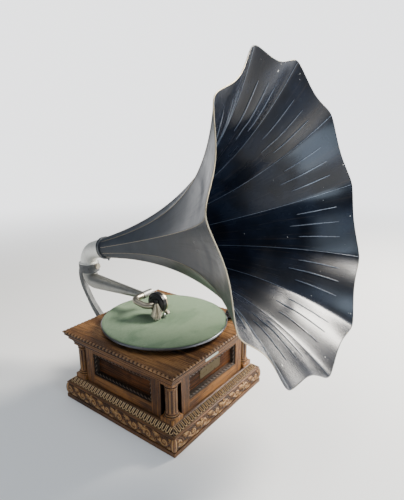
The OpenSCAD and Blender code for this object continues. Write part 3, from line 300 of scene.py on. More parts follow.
def horn_paint(name, colour, cloudy, rough, dust, chips, shine, dents=1.0, varnish=0.0,
               fade=0.0):
    """Enamel on sheet metal: soft dents, faint streaks that run outwards, chips at the rim.

    varnish is the coat left on the lower and right-hand petals; fade darkens the paint outwards as
    painted shade.
    """
    f = Finish(name)
    side, up, along = horn_axes(f)
    radius = (side * side + up * up) ** 0.5
    outwards = f.join(side / radius * 60.0, up / radius * 60.0, along * 0.018)
    streak = f.noise(outwards, 2.2, 3, 0.6)
    cloud = f.noise(f.place, 70, 3, 0.5)
    fine = f.noise(f.place, 15, 2, 0.5)
    rim = f.rise(along, FLARE_LEN * 0.84, FLARE_LEN)
    tint = f.mix(f.rise(cloud, 0.36, 0.66), colour, cloudy)
    tint = f.mix(f.rise(streak, 0.54, 0.74) * dust, tint, (0.045, 0.032, 0.022))
    # Darker from the neck towards the mouth by fade: painted shade.
    tint = f.shade(f.rise(along, 120, 380) * fade, tint, (0.5, 0.5, 0.52))
    flake = f.noise(f.place, 9, 3, 0.6)
    chip = f.rise(flake + rim * 0.06, 0.80 - chips, 0.815 - chips)
    tint = f.mix(chip * 0.9, tint, (0.6, 0.57, 0.52))
    roughness = rough + f.rise(cloud, 0.3, 0.7) * 0.08 + f.rise(fine, 0.4, 0.7) * 0.03 \
        + chip * 0.3 + f.rise(streak, 0.5, 0.7) * 0.05
    height = f.noise(f.place, 85, 1) * dents - chip * 0.1
    kept = f.rise(up, -80, -160) + f.rise(side, 40, 190) * f.rise(abs(up - 95), 110, 60) * 0.4
    coat = f.calc("MINIMUM", kept * varnish, 1.0)
    return f.done(tint, roughness, height, 1.3, Specular_IOR_Level=shine, coat=coat,
                  Coat_Roughness=0.27)


def collar_paint(name):
    """The collar: slate like the horn, with a black band where it meets the elbow."""
    f = Finish(name)
    along = horn_axes(f)[2] + NECK_LEN
    fine = f.noise(f.place, 4, 3, 0.6)
    band = f.rise(along, 5.2, 4.6)
    colour = f.mix(band, (0.045, 0.052, 0.062), (0.008, 0.008, 0.009))
    return f.done(colour, 0.34 + fine * 0.12, fine, 0.04)


def rim_metal(name):
    """The wire in the rim: worn to brass on the left, dark paint with chips elsewhere."""
    f = Finish(name)
    x, _, z = f.parts(f.place)
    worn = f.rise(x, -70, -130) * f.rise(z, 285, 330)
    chip = f.rise(f.noise(f.place, 8, 4, 0.65), 0.57, 0.63) * 0.7
    bare = f.calc("MAXIMUM", worn * 0.9, chip)
    mottle = f.noise(f.place, 5, 3, 0.6)
    colour = f.mix(bare, (0.02, 0.022, 0.028), (0.42, 0.36, 0.25))
    return f.done(colour, 0.34 + mottle * 0.16, mottle, 0.05, metal=bare)


def soundbox_shell(name):
    """Black enamel on the soundbox's back and flank, bare metal on its front rim."""
    f = Finish(name)
    bare = f.rise(f.parts(f.place)[0], 4.0, 4.4)
    smear = f.noise(f.place, 14, 4, 0.6)
    colour = f.mix(bare, (0.011, 0.011, 0.012), (0.52, 0.43, 0.29))
    return f.done(colour, 0.24 + smear * 0.2, smear, 0.05, metal=bare, Specular_IOR_Level=0.35)


def felt(name):
    """Worn green felt: matted fibres, scuffed, stained and darker patches."""
    f = Finish(name)
    fibre = f.noise(f.place, 0.9, 4, 0.7, 1.2)
    mat = f.noise(f.place, 3.4, 4, 0.7)
    patch = f.noise(f.stretch(f.place, 0.8, 1.3, 1), 58, 3, 0.55, 0.6)
    x, y = f.parts(f.place)[:2]
    radius = (x * x + (y - SPINDLE_Y) * (y - SPINDLE_Y)) ** 0.5
    colour = f.mix(f.rise(fibre, 0.3, 0.7), (0.122, 0.2, 0.115), (0.24, 0.33, 0.2))
    colour = f.shade(f.rise(patch, 0.5, 0.66) * 0.55, colour, (0.5, 0.64, 0.56))
    colour = f.mix(f.rise(mat, 0.54, 0.74) * 0.4, colour, (0.34, 0.4, 0.26))
    colour = f.shade(f.rise(mat, 0.48, 0.36) * 0.5, colour, (0.6, 0.68, 0.6))
    colour = f.shade(f.rise(radius, 66, 20) * 0.55, colour, (0.5, 0.62, 0.55))
    colour = f.shade(f.rise(radius, 143, 151) * 0.35, colour, (0.6, 0.6, 0.48))
    return f.done(colour, 0.95, fibre + mat * 0.8, 0.6, Sheen_Weight=0.25,
                  Sheen_Roughness=0.5, Specular_IOR_Level=0.15)


def bristle(name):
    """Cream bristles; those with a higher mark are soiled."""
    f = Finish(name)
    mottle = f.noise(f.place, 3, 3, 0.6)
    colour = f.mix(f.mark(), (0.92, 0.86, 0.70), (0.20, 0.155, 0.10))
    return f.done(f.shade(mottle * 0.5, colour, (0.7, 0.66, 0.6)), 0.5 + mottle * 0.1)


def plain(name, colour, rough, size, depth, fade, **fixed):
    """Lacquer, rubber, mica, a cast surface or a ridge: one colour, mottled at its own scale."""
    f = Finish(name)
    mottle = f.noise(f.place, size, 4, 0.6)
    tint = f.shade(f.rise(mottle, 0.35, 0.75), colour, (fade, fade, fade))
    return f.done(tint, rough + mottle * 0.12, mottle, depth, **fixed)


def carry(finish, nodes):
    """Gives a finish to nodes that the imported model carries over, and returns it."""
    for name in nodes.split():
        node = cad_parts[name]
        for slot in node.material_slots:
            slot.material = finish
        if not node.material_slots:
            node.data.materials.append(finish)
    return finish


carry(oak("oak_frames", "frame", (0.27, 0.112, 0.027), (0.062, 0.022, 0.006), 0.42),
      "panel_frames")
carry(oak("oak_panels", "run", (0.125, 0.042, 0.010), (0.020, 0.007, 0.002), 0.5, shine=0.12),
      "side_panels")
carry(oak("oak_back", "run", (0.19, 0.085, 0.03), (0.06, 0.025, 0.009), 0.5), "back_board")
# Near-black oak on the corner posts behind the columns: painted shade.
carry(oak("oak_in_shadow", "upright", (0.016, 0.010, 0.006), (0.006, 0.004, 0.003), 0.6),
      "corner_posts")
carry(oak("grip_beech", "run", (0.34, 0.17, 0.065), (0.15, 0.07, 0.028), 0.25, 0.4, coat=0.2),
      "crank_grip")
OAK_RUN = carry(oak("oak_strips", "run", (0.20, 0.085, 0.024), (0.045, 0.017, 0.005), 0.42),
                "base_board")
OAK_LID = oak("oak_lid", "lid", (0.34, 0.17, 0.062), (0.085, 0.035, 0.012), 0.36, 1.1, 1.2,
              (0.45, 0.265, 0.12), shine=0.34)
OAK_CARVED = oak("oak_carved", "run", (0.24, 0.097, 0.025), (0.08, 0.031, 0.009), 0.32, 0.4, 0.6,
                 (0.62, 0.34, 0.115), shine=0.5)
OAK_TONGUES = oak("oak_tongues", "run", (0.12, 0.052, 0.016), (0.05, 0.021, 0.007), 0.36, 0.3,
                  0.4, (0.88, 0.57, 0.27), shine=0.4)
OAK_ROPE = oak("oak_rope_moulding", "run", (0.05, 0.026, 0.013), (0.014, 0.008, 0.004), 0.36,
               0.2, 0.3, (0.13, 0.09, 0.062), shine=0.24)
OAK_UPRIGHT = oak("oak_columns", "upright", (0.33, 0.142, 0.034), (0.075, 0.027, 0.008), 0.3,
                  worn=(0.52, 0.29, 0.10), coat=0.12)
carry(metal("nickel_bright", (0.37, 0.335, 0.27), 0.36, 0.45, brushed=(1, 1, 0.2)),
      "gooseneck stylus_bar needle_screw elbow_thumbscrew crank_arm neck_nut")
carry(metal("nickel_dull", (0.31, 0.31, 0.29), 0.5, 0.4, lumps=0.5), "tonearm")
carry(metal("nickel_platter", (0.17, 0.18, 0.2), 0.3, 0.5, (0.2, 0.18, 0.17),
            brushed=(0.2, 0.2, 1)), "platter")
carry(metal("cast_aluminium", (0.74, 0.745, 0.715), 0.6, 0.35, grain=0.14, lumps=0.6),
      "horn_elbow")
carry(metal("brass_aged", (0.42, 0.30, 0.13), 0.32, 0.5, (0.45, 0.38, 0.25)),
      "crank_escutcheon brake_plate regulator_plate worm_wheel layshaft_wheel spring_barrel "
      "barrel_cover crown_wheel governor_weight_a governor_weight_b governor_weight_c "
      "governor_disc")
carry(metal("brass_plate", (0.095, 0.072, 0.038), 0.5, 1.0, (0.18, 0.16, 0.12), 0.2, lumps=0.4),
      "front_plate")
carry(metal("steel_machined", (0.42, 0.42, 0.42), 0.28, 0.25, brushed=(0.15, 1, 1)),
      "case_screws motor_pillars spindle layshaft winding_arbor ratchet_wheel ratchet_pawl "
      "governor_shaft crank_shaft needle")
carry(metal("cast_iron", (0.18, 0.18, 0.18), 0.5, 0.4, grain=0.25, lumps=1.0),
      "motor_bedplate motor_lower_plate bearing_hangers")
SPRING_STEEL = carry(metal("spring_steel", (0.32, 0.34, 0.4), 0.25, 0.2), "mainspring")
BRASS_SEAM = metal("brass_seam", (0.34, 0.29, 0.21), 0.4, 0.6)
carry(plain("bracket_casting", (0.13, 0.135, 0.137), 0.5, 9, 0.25, 0.62, metal=0.2,
            Specular_IOR_Level=0.28), "horn_bracket")
carry(plain("black_lacquer", (0.012, 0.012, 0.013), 0.22, 18, 0.04, 0.8, coat=0.3),
      "brake_lever regulator_knob brush_holder")
carry(plain("black_rubber", (0.014, 0.014, 0.015), 0.3, 3, 0.08, 0.7, coat=0.2),
      "soundbox_rubber")
carry(plain("mica", (0.55, 0.48, 0.34), 0.18, 9, 0.03, 0.8, coat=0.4), "diaphragm")
carry(soundbox_shell("soundbox_shell"), "soundbox_body")
carry(collar_paint("collar_paint"), "horn_collar")
TAG = plain("pale_tag", (0.55, 0.60, 0.50), 0.5, 4, 0.05, 0.75)
BRISTLE = bristle("cream_bristle")
FELT = felt("sage_felt")
HORN_INSIDE = horn_paint("horn_inside", (0.003, 0.004, 0.007), (0.006, 0.009, 0.017), 0.19,
                         0.2, 0.036, 0.1, varnish=0.85)
HORN_OUTSIDE = horn_paint("horn_outside", (0.025, 0.031, 0.041), (0.036, 0.044, 0.057), 0.27,
                          0.1, -0.1, 0.12, dents=0.6, fade=0.9)
# Paler than the horn's paint: painted highlight along the ribs and inner seam folds, with some
# wear.
HORN_RIDGE = plain("horn_ridges", (0.10, 0.12, 0.155), 0.22, 7, 0.03, 0.6, coat=0.6)
RIM = rim_metal("rim_metal")


# Mesh making
class Shape:
    """Collects points in millimetres, faces, and a mark at each point: hollow 1 for painted shade,
    worn -1 for wear and painted highlight.
    """

    def __init__(self):
        self.points, self.faces, self.marks, self.count = [], [], [], 0

    def add(self, points, faces, mark=0.0):
        points = np.asarray(points, float).reshape(-1, 3)
        self.points.append(points)
        self.marks.append(np.broadcast_to(np.asarray(mark, float).ravel(), len(points)))
        self.faces += [tuple(int(i) + self.count for i in f) for f in faces]
        self.count += len(points)

    def sheet(self, grid, around=False, along=False, mark=0.0, flip=False, caps=False):
        """A grid of points [row, column]; around closes the columns and along the rows."""
        rows, columns = grid.shape[:2]
        faces = []
        for i in range(rows if along else rows - 1):
            for j in range(columns if around else columns - 1):
                i2, j2 = (i + 1) % rows, (j + 1) % columns
                face = (i * columns + j, i * columns + j2, i2 * columns + j2, i2 * columns + j)
                faces.append(face[::-1] if flip else face)
        if caps:
            first, last = range(columns), range((rows - 1) * columns, rows * columns)
            faces += [first if flip else first[::-1], last[::-1] if flip else last]
        self.add(grid, faces, mark)

    def tube(self, path, radius, sides, closed=False, mark=0.0):
        """A round tube along a path, its ends cut square."""
        path = np.asarray(path, float)
        radius = np.broadcast_to(np.asarray(radius, float), len(path))
        ahead = np.roll(path, -1, 0) - np.roll(path, 1, 0)
        if not closed:
            ahead[0], ahead[-1] = path[1] - path[0], path[-1] - path[-2]
        ahead /= np.linalg.norm(ahead, axis=1)[:, None]
        side = np.cross(ahead[0], [0.3, 0.2, 1.0])
        rings = []
        for p, a, r in zip(path, ahead, radius):
            side = side - a * side.dot(a)
            side /= np.linalg.norm(side)
            up = np.cross(a, side)
            turn = np.arange(sides) * TURN / sides
            rings.append(p + r * (np.outer(np.cos(turn), side) + np.outer(np.sin(turn), up)))
        self.sheet(np.array(rings), True, closed, mark, caps=not closed)

    def box(self, low, high, soft):
        """A block with its edges softened."""
        low, high = np.array(low, float), np.array(high, float)
        loops, c = [], soft * 0.6
        for z, inset in ((low[2], soft), (low[2] + soft, 0), (high[2] - soft, 0), (high[2], soft)):
            x0, x1, y0, y1 = low[0] + inset, high[0] - inset, low[1] + inset, high[1] - inset
            loops.append([(x0 + c, y0, z), (x1 - c, y0, z), (x1, y0 + c, z), (x1, y1 - c, z),
                          (x1 - c, y1, z), (x0 + c, y1, z), (x0, y1 - c, z), (x0, y0 + c, z)])
        self.sheet(np.array(loops), True, caps=True)

    def cap(self, loops, flip):
        """A flat face with holes; loops are lists of points, the outline first."""
        corners = [[Vector(p) for p in loop] for loop in loops]
        triangles = tessellate_polygon(corners)
        points = np.array([p for loop in loops for p in loop], float)
        up = Vector((0, 0, -1 if flip else 1))
        faces = []
        for t in triangles:
            a, b, c = (Vector(points[i]) for i in t)
            normal = (b - a).cross(c - a)
            if normal.length > 1e-9:
                faces.append(tuple(t) if normal.dot(up) > 0 else tuple(t)[::-1])
        self.add(points, faces)

    def make(self, name, body, finishes, nodes=(), slot=None, sharp=38, kinds=None):
        """The finished object, riding on its body; kinds gives each face's finish."""
        mesh = bpy.data.meshes.new(name)
        mesh.from_pydata((np.vstack(self.points) * MM).tolist(), [], self.faces)
        for finish in finishes if isinstance(finishes, list) else [finishes]:
            mesh.materials.append(finish)
        if kinds:
            mesh.polygons.foreach_set("material_index", kinds)
        values = np.concatenate(self.marks).astype(np.float32)
        mesh.attributes.new("hollow", "FLOAT", "POINT").data.foreach_set("value", values)
        mesh.update()
        mesh.shade_smooth()
        mesh.set_sharp_from_angle(angle=math.radians(sharp))
        made = put(name, mesh)
        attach(made, body)
        if nodes:
            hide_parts(*nodes)
        return made


def resample(line, step):
    """Points at even steps along a line of [distance, height] points."""
    line = np.array(line, float)
    run = np.concatenate([[0], np.cumsum(np.linalg.norm(np.diff(line, axis=0), axis=1))])
    at = np.linspace(0, run[-1], max(2, int(round(run[-1] / step)) + 1))
    return np.stack([np.interp(at, run, line[:, k]) for k in range(2)], 1), at


def outward(line):
    """Unit normals of a line that runs upwards on the outer side."""
    slope = np.gradient(line, axis=0)
    normal = np.stack([slope[:, 1], -slope[:, 0]], 1)
    return normal / np.maximum(1e-9, np.linalg.norm(normal, axis=1))[:, None]


def turned(points, quarter):
    """Points of the front side turned to another side of the case."""
    c, s = [(1, 0), (0, 1), (-1, 0), (0, -1)][quarter]
    x, y, z = np.moveaxis(points, -1, 0)
    return np.stack([c * x - s * y, s * x + c * y, z], -1)


def mitred_strips(profile, back, relief, step_along, step_up):
    """Four carved strips round the case. relief(along, up, side) gives a height and a mark."""
    shape, mitre_gap = Shape(), 0.05
    line, up = resample(profile, step_up)
    normal = outward(line)
    for quarter in range(4):
        share = np.linspace(-1, 1, int(2 * line[:, 0].max() / step_along))
        along = share[:, None] * (line[None, :, 0] - mitre_gap)
        height, mark = relief(along, np.broadcast_to(up, along.shape), quarter)
        ends = short_of_ends(share, line[:, 0].max())
        height = height * ends
        front = np.stack([along, -(line[:, 0] + normal[:, 0] * height),
                          line[:, 1] + normal[:, 1] * height], -1)
        rear = np.array([[(s * (d - mitre_gap), -d, z) for d, z in back] for s in share])
        grid = turned(np.concatenate([front, rear], 1), quarter)
        marks = np.concatenate([mark * ends, np.zeros(rear.shape[:2])], 1)
        shape.sheet(grid, True, False, marks, caps=True, flip=True)
    return shape


def smooth(value, low, high):
    """Goes smoothly from 0 to 1 while value goes from low to high."""
    t = np.clip((value - low) / (high - low), 0, 1)
    return t * t * (3 - 2 * t)


def short_of_ends(share, reach):
    """1 along a side and 0 at its ends; share runs from -1 to 1."""
    return np.clip((1 - abs(share)) * reach / 4, 0, 1)[:, None]


def speckle(along, up, side, size):
    """Slow, repeatable unevenness from a few waves."""
    return (np.sin(along / size + 1.3 * side) * np.sin(up / size * 1.7)
            + 0.6 * np.sin(along / size * 2.3 + up / size * 1.9 + 2 * side)) / 1.6


# Case
def leaf(start, angle, length, width, curl):
    """A carved leaf as points along its middle, with half-widths."""
    count = 26
    t = np.linspace(0, 1, count)
    turn = angle + curl * t
    step = length / (count - 1)
    x = start[0] + np.cumsum(np.cos(turn)) * step
    y = start[1] + np.cumsum(np.sin(turn)) * step
    return np.stack([x, y, width * np.sin(np.pi * np.clip(t * 0.92 + 0.06, 0, 1)) ** 0.8], 1)


def scroll(centre, big, small, begin, turns, width):
    """A stem that winds in towards its centre and grows thinner, as a leaf's points."""
    t = np.linspace(0, 1, 90)
    r = big + (small - big) * t ** 0.8
    a = begin + turns * TURN * t
    return np.stack([centre[0] + r * np.cos(a), centre[1] + r * np.sin(a),
                     width * (1 - 0.45 * t)], 1)


def fan(centre, first, last, count, length, width, curl):
    """A spray of small curved leaves from one point."""
    return [leaf(centre, math.radians(a), length * (0.85 + 0.15 * math.cos(7 * a)), width, curl)
            for a in np.linspace(first, last, count)]


def acanthus_field(length, height, step):
    """Heights, 0 to 1, of one repeat of the running scroll and leaf pattern."""
    xs, ys = np.arange(0, length, step), np.arange(0, height + step, step)
    gx, gy = np.meshgrid(xs, ys, indexing="ij")
    field, third = np.zeros_like(gx), length / 3
    left, right = (third * 0.5, 15), (third * 2.1, 17)
    strokes = [scroll(eye, big, 3.4, math.radians(begin), turns, width)
               for eye, big, begin, turns, width in (
                   (left, 12.5, 200, -1.15, 1.9), (left, 9.6, 200, -1.0, 1.1),
                   (right, 12.0, 160, 1.15, 1.9), (right, 9.2, 160, 1.0, 1.1))]
    for spray in (((third * 1.02, 4), 165, 10, 8, 14, 1.25, 0.7),
                  ((third * 1.3, 29), -165, -10, 8, 13, 1.25, -0.8),
                  ((third * 2.78, 28), -170, -20, 8, 14, 1.25, -0.7),
                  ((third * 2.62, 4), 155, 20, 7, 12, 1.2, 0.9),
                  ((third * 1.7, 12), 60, 130, 4, 10, 1.1, 0.8),
                  ((third * 0.1, 24), 200, 330, 5, 9, 1.1, 0.8),
                  (left, 80, 380, 5, 6, 1.2, 1.2), (right, 80, 380, 5, 6, 1.2, -1.2),
                  ((2, 29), -70, -5, 3, 10, 1.3, 0.9)):
        strokes += fan(*spray)
    for stroke in strokes:
        for shift in (-length, 0, length):
            if not -12 < stroke[:, 0].mean() + shift < length + 12:
                continue
            near = np.full(gx.shape, 9.0)  # in half-widths of the stroke
            for x, y, w in stroke:
                near = np.minimum(near, np.hypot(gx - x - shift, gy - y) / max(w, 0.3))
            ridge = np.clip(1 - near ** 2, 0, 1) ** 0.6
            field = np.maximum(field, ridge)
    for x, y, r in ((*left, 2.8), (*right, 2.8), (third * 1.55, 16, 2.4)):
        field = np.maximum(field, np.clip(1.15 - (np.hypot(gx - x, gy - y) / r) ** 2, 0, 1.0))
    bent = (4 * TURN * gx / length * 2 + 2.2 * np.sin(gy / 4.6)
            + 1.3 * np.sin(2 * TURN * gx / length))
    return np.maximum(field, 0.42 * np.abs(np.cos(bent + gy * 0.3)) ** 1.5)


def carved_plinth():
    """Cushion moulding with running scrolls and leaves, a plain leaf at each mitre."""
    low, high, edge, bulge = BASE_T, PLINTH_TOP - 4, 172, 4
    arc = [(edge + bulge * math.sin(a), low + (high - low) * (1 - math.cos(a)) / 2)
           for a in np.linspace(0, math.pi, 15)]
    arc[0] = (edge, low)
    profile = arc + [(edge + d, high + h) for d, h in (
        (0.2, 0.2), (1.5, 0.8), (1.9, 2), (1.5, 3.2), (0.2, 3.8))]
    half, step = 174, 0.4
    repeat = 2 * half / 4
    field = acanthus_field(repeat, 33, step)

    def relief(along, up, side):
        place = (along + half) % repeat / step
        row = np.clip((up - 1.0) / step, 0, field.shape[1] - 1.001)
        i, j = place.astype(int) % field.shape[0], row.astype(int)
        fi, fj = place - place.astype(int), row - row.astype(int)
        i2 = (i + 1) % field.shape[0]
        value = ((field[i, j] * (1 - fi) + field[i2, j] * fi) * (1 - fj)
                 + (field[i, j + 1] * (1 - fi) + field[i2, j + 1] * fi) * fj)
        corner = half + 1 - abs(along)
        leafy = np.exp(-(np.abs(corner - 5) / 3.2) ** 2)
        value = value * smooth(corner, 7, 12) + leafy * (1 - smooth(corner, 9, 13))
        inside = smooth(up, 0.6, 2.2) * smooth(-up, -33.8, -32.2)
        # The mark: painted shade on the ground between the leaves, wear and painted highlight on
        # their tops, a little painted shade on the top bead.
        bead = -0.18 * smooth(up, 34.6, 35.6)
        return (3.0 * value - 2.1) * inside, (0.92 - 1.7 * value) * inside - bead

    shape = mitred_strips(profile, [(INNER, PLINTH_TOP), (INNER, low)], relief, 0.95, 0.62)
    shape.make("carved_plinth", "case", OAK_CARVED, ["plinth_moulding"], STAINED)


def tongue_band():
    """Sloping band of upright tongues between two fillets."""
    low, high = 170, COLUMN_C + COLUMN_BLOCK / 2 - 1
    profile = [(low - 0.6, PLINTH_TOP), (low + 0.6, PLINTH_TOP + 0.8), (low + 0.3, PLINTH_TOP + 2),
               (low - 1.6, PLINTH_TOP + 2.6), (high + (low - high) * 0.5, PLINTH_TOP + 7.2),
               (high + 0.6, FRAME_Z - 0.6), (high, FRAME_Z)]
    pitch, foot, radius, reach = 10.6, 4.4, 3.3, 18.5

    def relief(along, up, side):
        x = (along + pitch / 2) % pitch - pitch / 2
        v = up - foot
        away = np.where(v < radius, abs(np.hypot(x, v - radius) - radius), abs(abs(x) - radius))
        ridge = np.exp(-(away / 0.75) ** 2)
        heart = np.exp(-(x / 1.0) ** 2) * smooth(v, radius - 0.5, radius + 1.5) * 0.25
        inside = smooth(up, 3.2, 4.2) * smooth(-up, -reach, -reach + 1.2)
        value = np.maximum(ridge, heart)
        # The mark: painted shade in the hollows, wear and painted highlight on the tongues' ridges,
        # painted highlight along the lower fillet.
        fillet = 0.75 * np.exp(-((up - 1.7) / 1.1) ** 2)
        return (2.7 * value - 1.7) * inside, (1.1 - 3.4 * value) * inside - 0.5 * fillet

    shape = mitred_strips(profile, [(INNER, FRAME_Z), (INNER, PLINTH_TOP)], relief, 0.7, 0.5)
    shape.make("tongue_band", "case", OAK_TONGUES, ["tongue_moulding"], STAINED)


def stepped_cornice():
    """Plain cornice: a fillet, a cove, a flat face and an upper moulding."""
    low = COLUMN_C + COLUMN_R + 3
    cove = [(163 - (163 - low - 1) * math.cos(a), 151 + 9 * math.sin(a))
            for a in np.linspace(0.05, math.pi / 2, 9)]
    profile = ([(low - 0.4, 149), (low, 149.5), (low, 150.6)] + cove
               + [(163.4, 160.6), (163.4, 166), (163.8, 166.8), (165.4, 167.2), (166.4, 168)]
               + [(170 - 3.4 * math.cos(a), 168.2 + 3 * math.sin(a))
                  for a in np.linspace(0.1, math.pi / 2, 5)] + [(170, 171.8), (170, LID_Z)])
    line, run = resample(profile, 0.9)

    def near(size, *spots):
        return sum(np.exp(-(np.hypot(line[:, 0] - d, line[:, 1] - z) / size) ** 2)
                   for d, z in spots)

    edge = near(1.1, (low, 149.8), (163.4, 160.8), (166.2, 167.6), (170, 172))
    nook = near(1.6, (low + 1.2, 151.5), (163.6, 166.4), (167.2, 169.6))

    def relief(along, up, side):
        # The mark: painted shade in the nooks and under the lid, wear and painted highlight on the
        # edges.
        shade = np.interp(up, run, 0.85 * nook - 0.6 * edge)
        shade = shade + 0.6 * smooth(up, run[-1] - 2.5, run[-1])
        return 0.12 * speckle(along, up, side, 31), shade

    shape = mitred_strips(profile, [(INNER, LID_Z), (INNER, FRAME_TOP)], relief, 3.5, 0.9)
    shape.make("stepped_cornice", "case", OAK_RUN, ["cornice"], OILED)


def lid():
    """Top board whose upper edge is carved into a row of small lobes."""
    shape = Shape()
    profile = [(LID_HALF + d, LID_Z + h) for d, h in (
        (-6, 0), (-3.4, 0), (-3.6, 1.6), (-1.6, 1.9), (0.2, 3.0), (1.0, 4.6), (0.6, 6.4),
        (-0.8, 7.6), (-2.2, 8))]
    line, up = resample(profile, 0.65)
    normal = outward(line)
    line = np.vstack([line, [[LID_HALF - 3.4, LID_Z + 8], [LID_HALF - 5, LID_Z + 8]]])
    up = np.append(up, [up[-1] + 1.2, up[-1] + 2.8])
    normal = np.vstack([normal, [[0, 1], [0, 1]]])
    lobes = smooth(up, 9.0, 10.2) * smooth(-up, -up[-1] + 0.2, -up[-1] + 2.2)
    pitch, count = 10.9, 380
    grid, marks = [], []
    for quarter in range(4):
        share = np.linspace(-1, 1, count, endpoint=False)
        along = share[:, None] * line[None, :, 0]
        wave = np.abs(np.sin(np.pi * along / pitch)) ** 0.55
        ends = short_of_ends(share, LID_HALF)
        height = 1.9 * (wave - 1) * lobes * ends
        worn = 0.15 * speckle(along, up + 0 * along, quarter, 23) * ends * smooth(up, 10, 12)
        side = np.stack([along, -(line[:, 0] + normal[:, 0] * (height + worn)),
                         line[:, 1] + normal[:, 1] * height], -1)
        side[:, -1, 2] = LID_TOP
        side[:, 0, 2] = LID_Z
        grid.append(turned(side, quarter))
        # The mark: painted shade in the grooves between the lobes and below them, wear and painted
        # highlight on the lobes.
        marks.append((0.9 - 1.4 * wave ** 2) * lobes * ends + 0.45 * smooth(-up, -9.4, -7.6))
    grid, marks = np.concatenate(grid), np.concatenate(marks)
    shape.sheet(grid, False, True, marks, flip=True)
    # X, Y and radius of the holes for the spindle, brake, regulator and four screws
    holes = [(0, SPINDLE_Y, 9.5), (124, -115, 2.05), (120, 110, 2.6)]
    holes += [(sx * 75, 16 + sy * 85, 4.6) for sx in (-1, 1) for sy in (-1, 1)]
    ring = np.arange(24) * TURN / 24

    def edge_of(hole, z):
        x, y, r = hole
        return [(x + r * math.cos(a), y + r * math.sin(a), z) for a in ring]

    for z, row, flip in ((LID_TOP, -1, False), (LID_Z, 0, True)):
        shape.cap([[tuple(p) for p in grid[:, row]]] + [edge_of(hole, z) for hole in holes], flip)
    for hole in holes:
        shape.sheet(np.array([edge_of(hole, z) for z in (LID_Z, LID_TOP)]), True, flip=True)
    shape.make("lobed_lid", "case", OAK_LID, ["top_board"], OILED)


def rope_mouldings():
    """A dark roped moulding round each of the three panels."""
    shape = Shape()
    bead = [(4.6 - 2.5 * math.cos(a), 6.5 + 2.5 * math.sin(a)) for a in np.linspace(0.6, 2.9, 10)]
    profile = [(0, 0.2), (0, 10.4), (0.7, 10.9), (1.7, 10.7), (2.2, 9.6), (2.5, 8.7), *bead,
               (7.0, 4.6), (7.2, 2.6), (8.0, 2.0), (8.0, 0.2)]
    line, up = resample(profile, 0.7)
    normal = -outward(line)
    rope_at = up[np.argmin(np.hypot(line[:, 0] - 4.9, line[:, 1] - 9.0))] + 0.4
    rope = np.exp(-((up - rope_at) / 3.1) ** 4)
    half, mid = OPENING_HALF, (OPENING_LOW + OPENING_TOP) / 2
    tall = (OPENING_TOP - OPENING_LOW) / 2
    for quarter in (0, 1, 3):
        rows, marks = [], []
        for k, (reach, other) in enumerate(((half, tall), (tall, half)) * 2):
            share = np.linspace(-1, 1, int(reach * 2 / 1.1), endpoint=False)
            run = share[:, None] * (reach - line[None, :, 0])
            wave = np.abs(np.sin(np.pi * (run / 11.2 + (up - rope_at) * 0.13))) ** 0.8
            ends = short_of_ends(share, reach)
            height = (2.0 * wave - 1.5) * rope * ends
            inset = other - line[:, 0] - normal[:, 0] * height
            proud = line[:, 1] + normal[:, 1] * height
            u, w = [(run, -inset), (inset, run), (-run, inset), (-inset, -run)][k]
            rows.append(np.stack([u, -(PANEL_Y + proud), mid + w], -1))
            # The mark: painted shade between the twists, wear and painted highlight on them.
            marks.append((0.9 - 1.9 * wave ** 3) * rope * ends)
        shape.sheet(turned(np.concatenate(rows), quarter), True, True, np.concatenate(marks))
    shape.make("rope_mouldings", "case", OAK_ROPE, ["panel_mouldings"], STAINED)


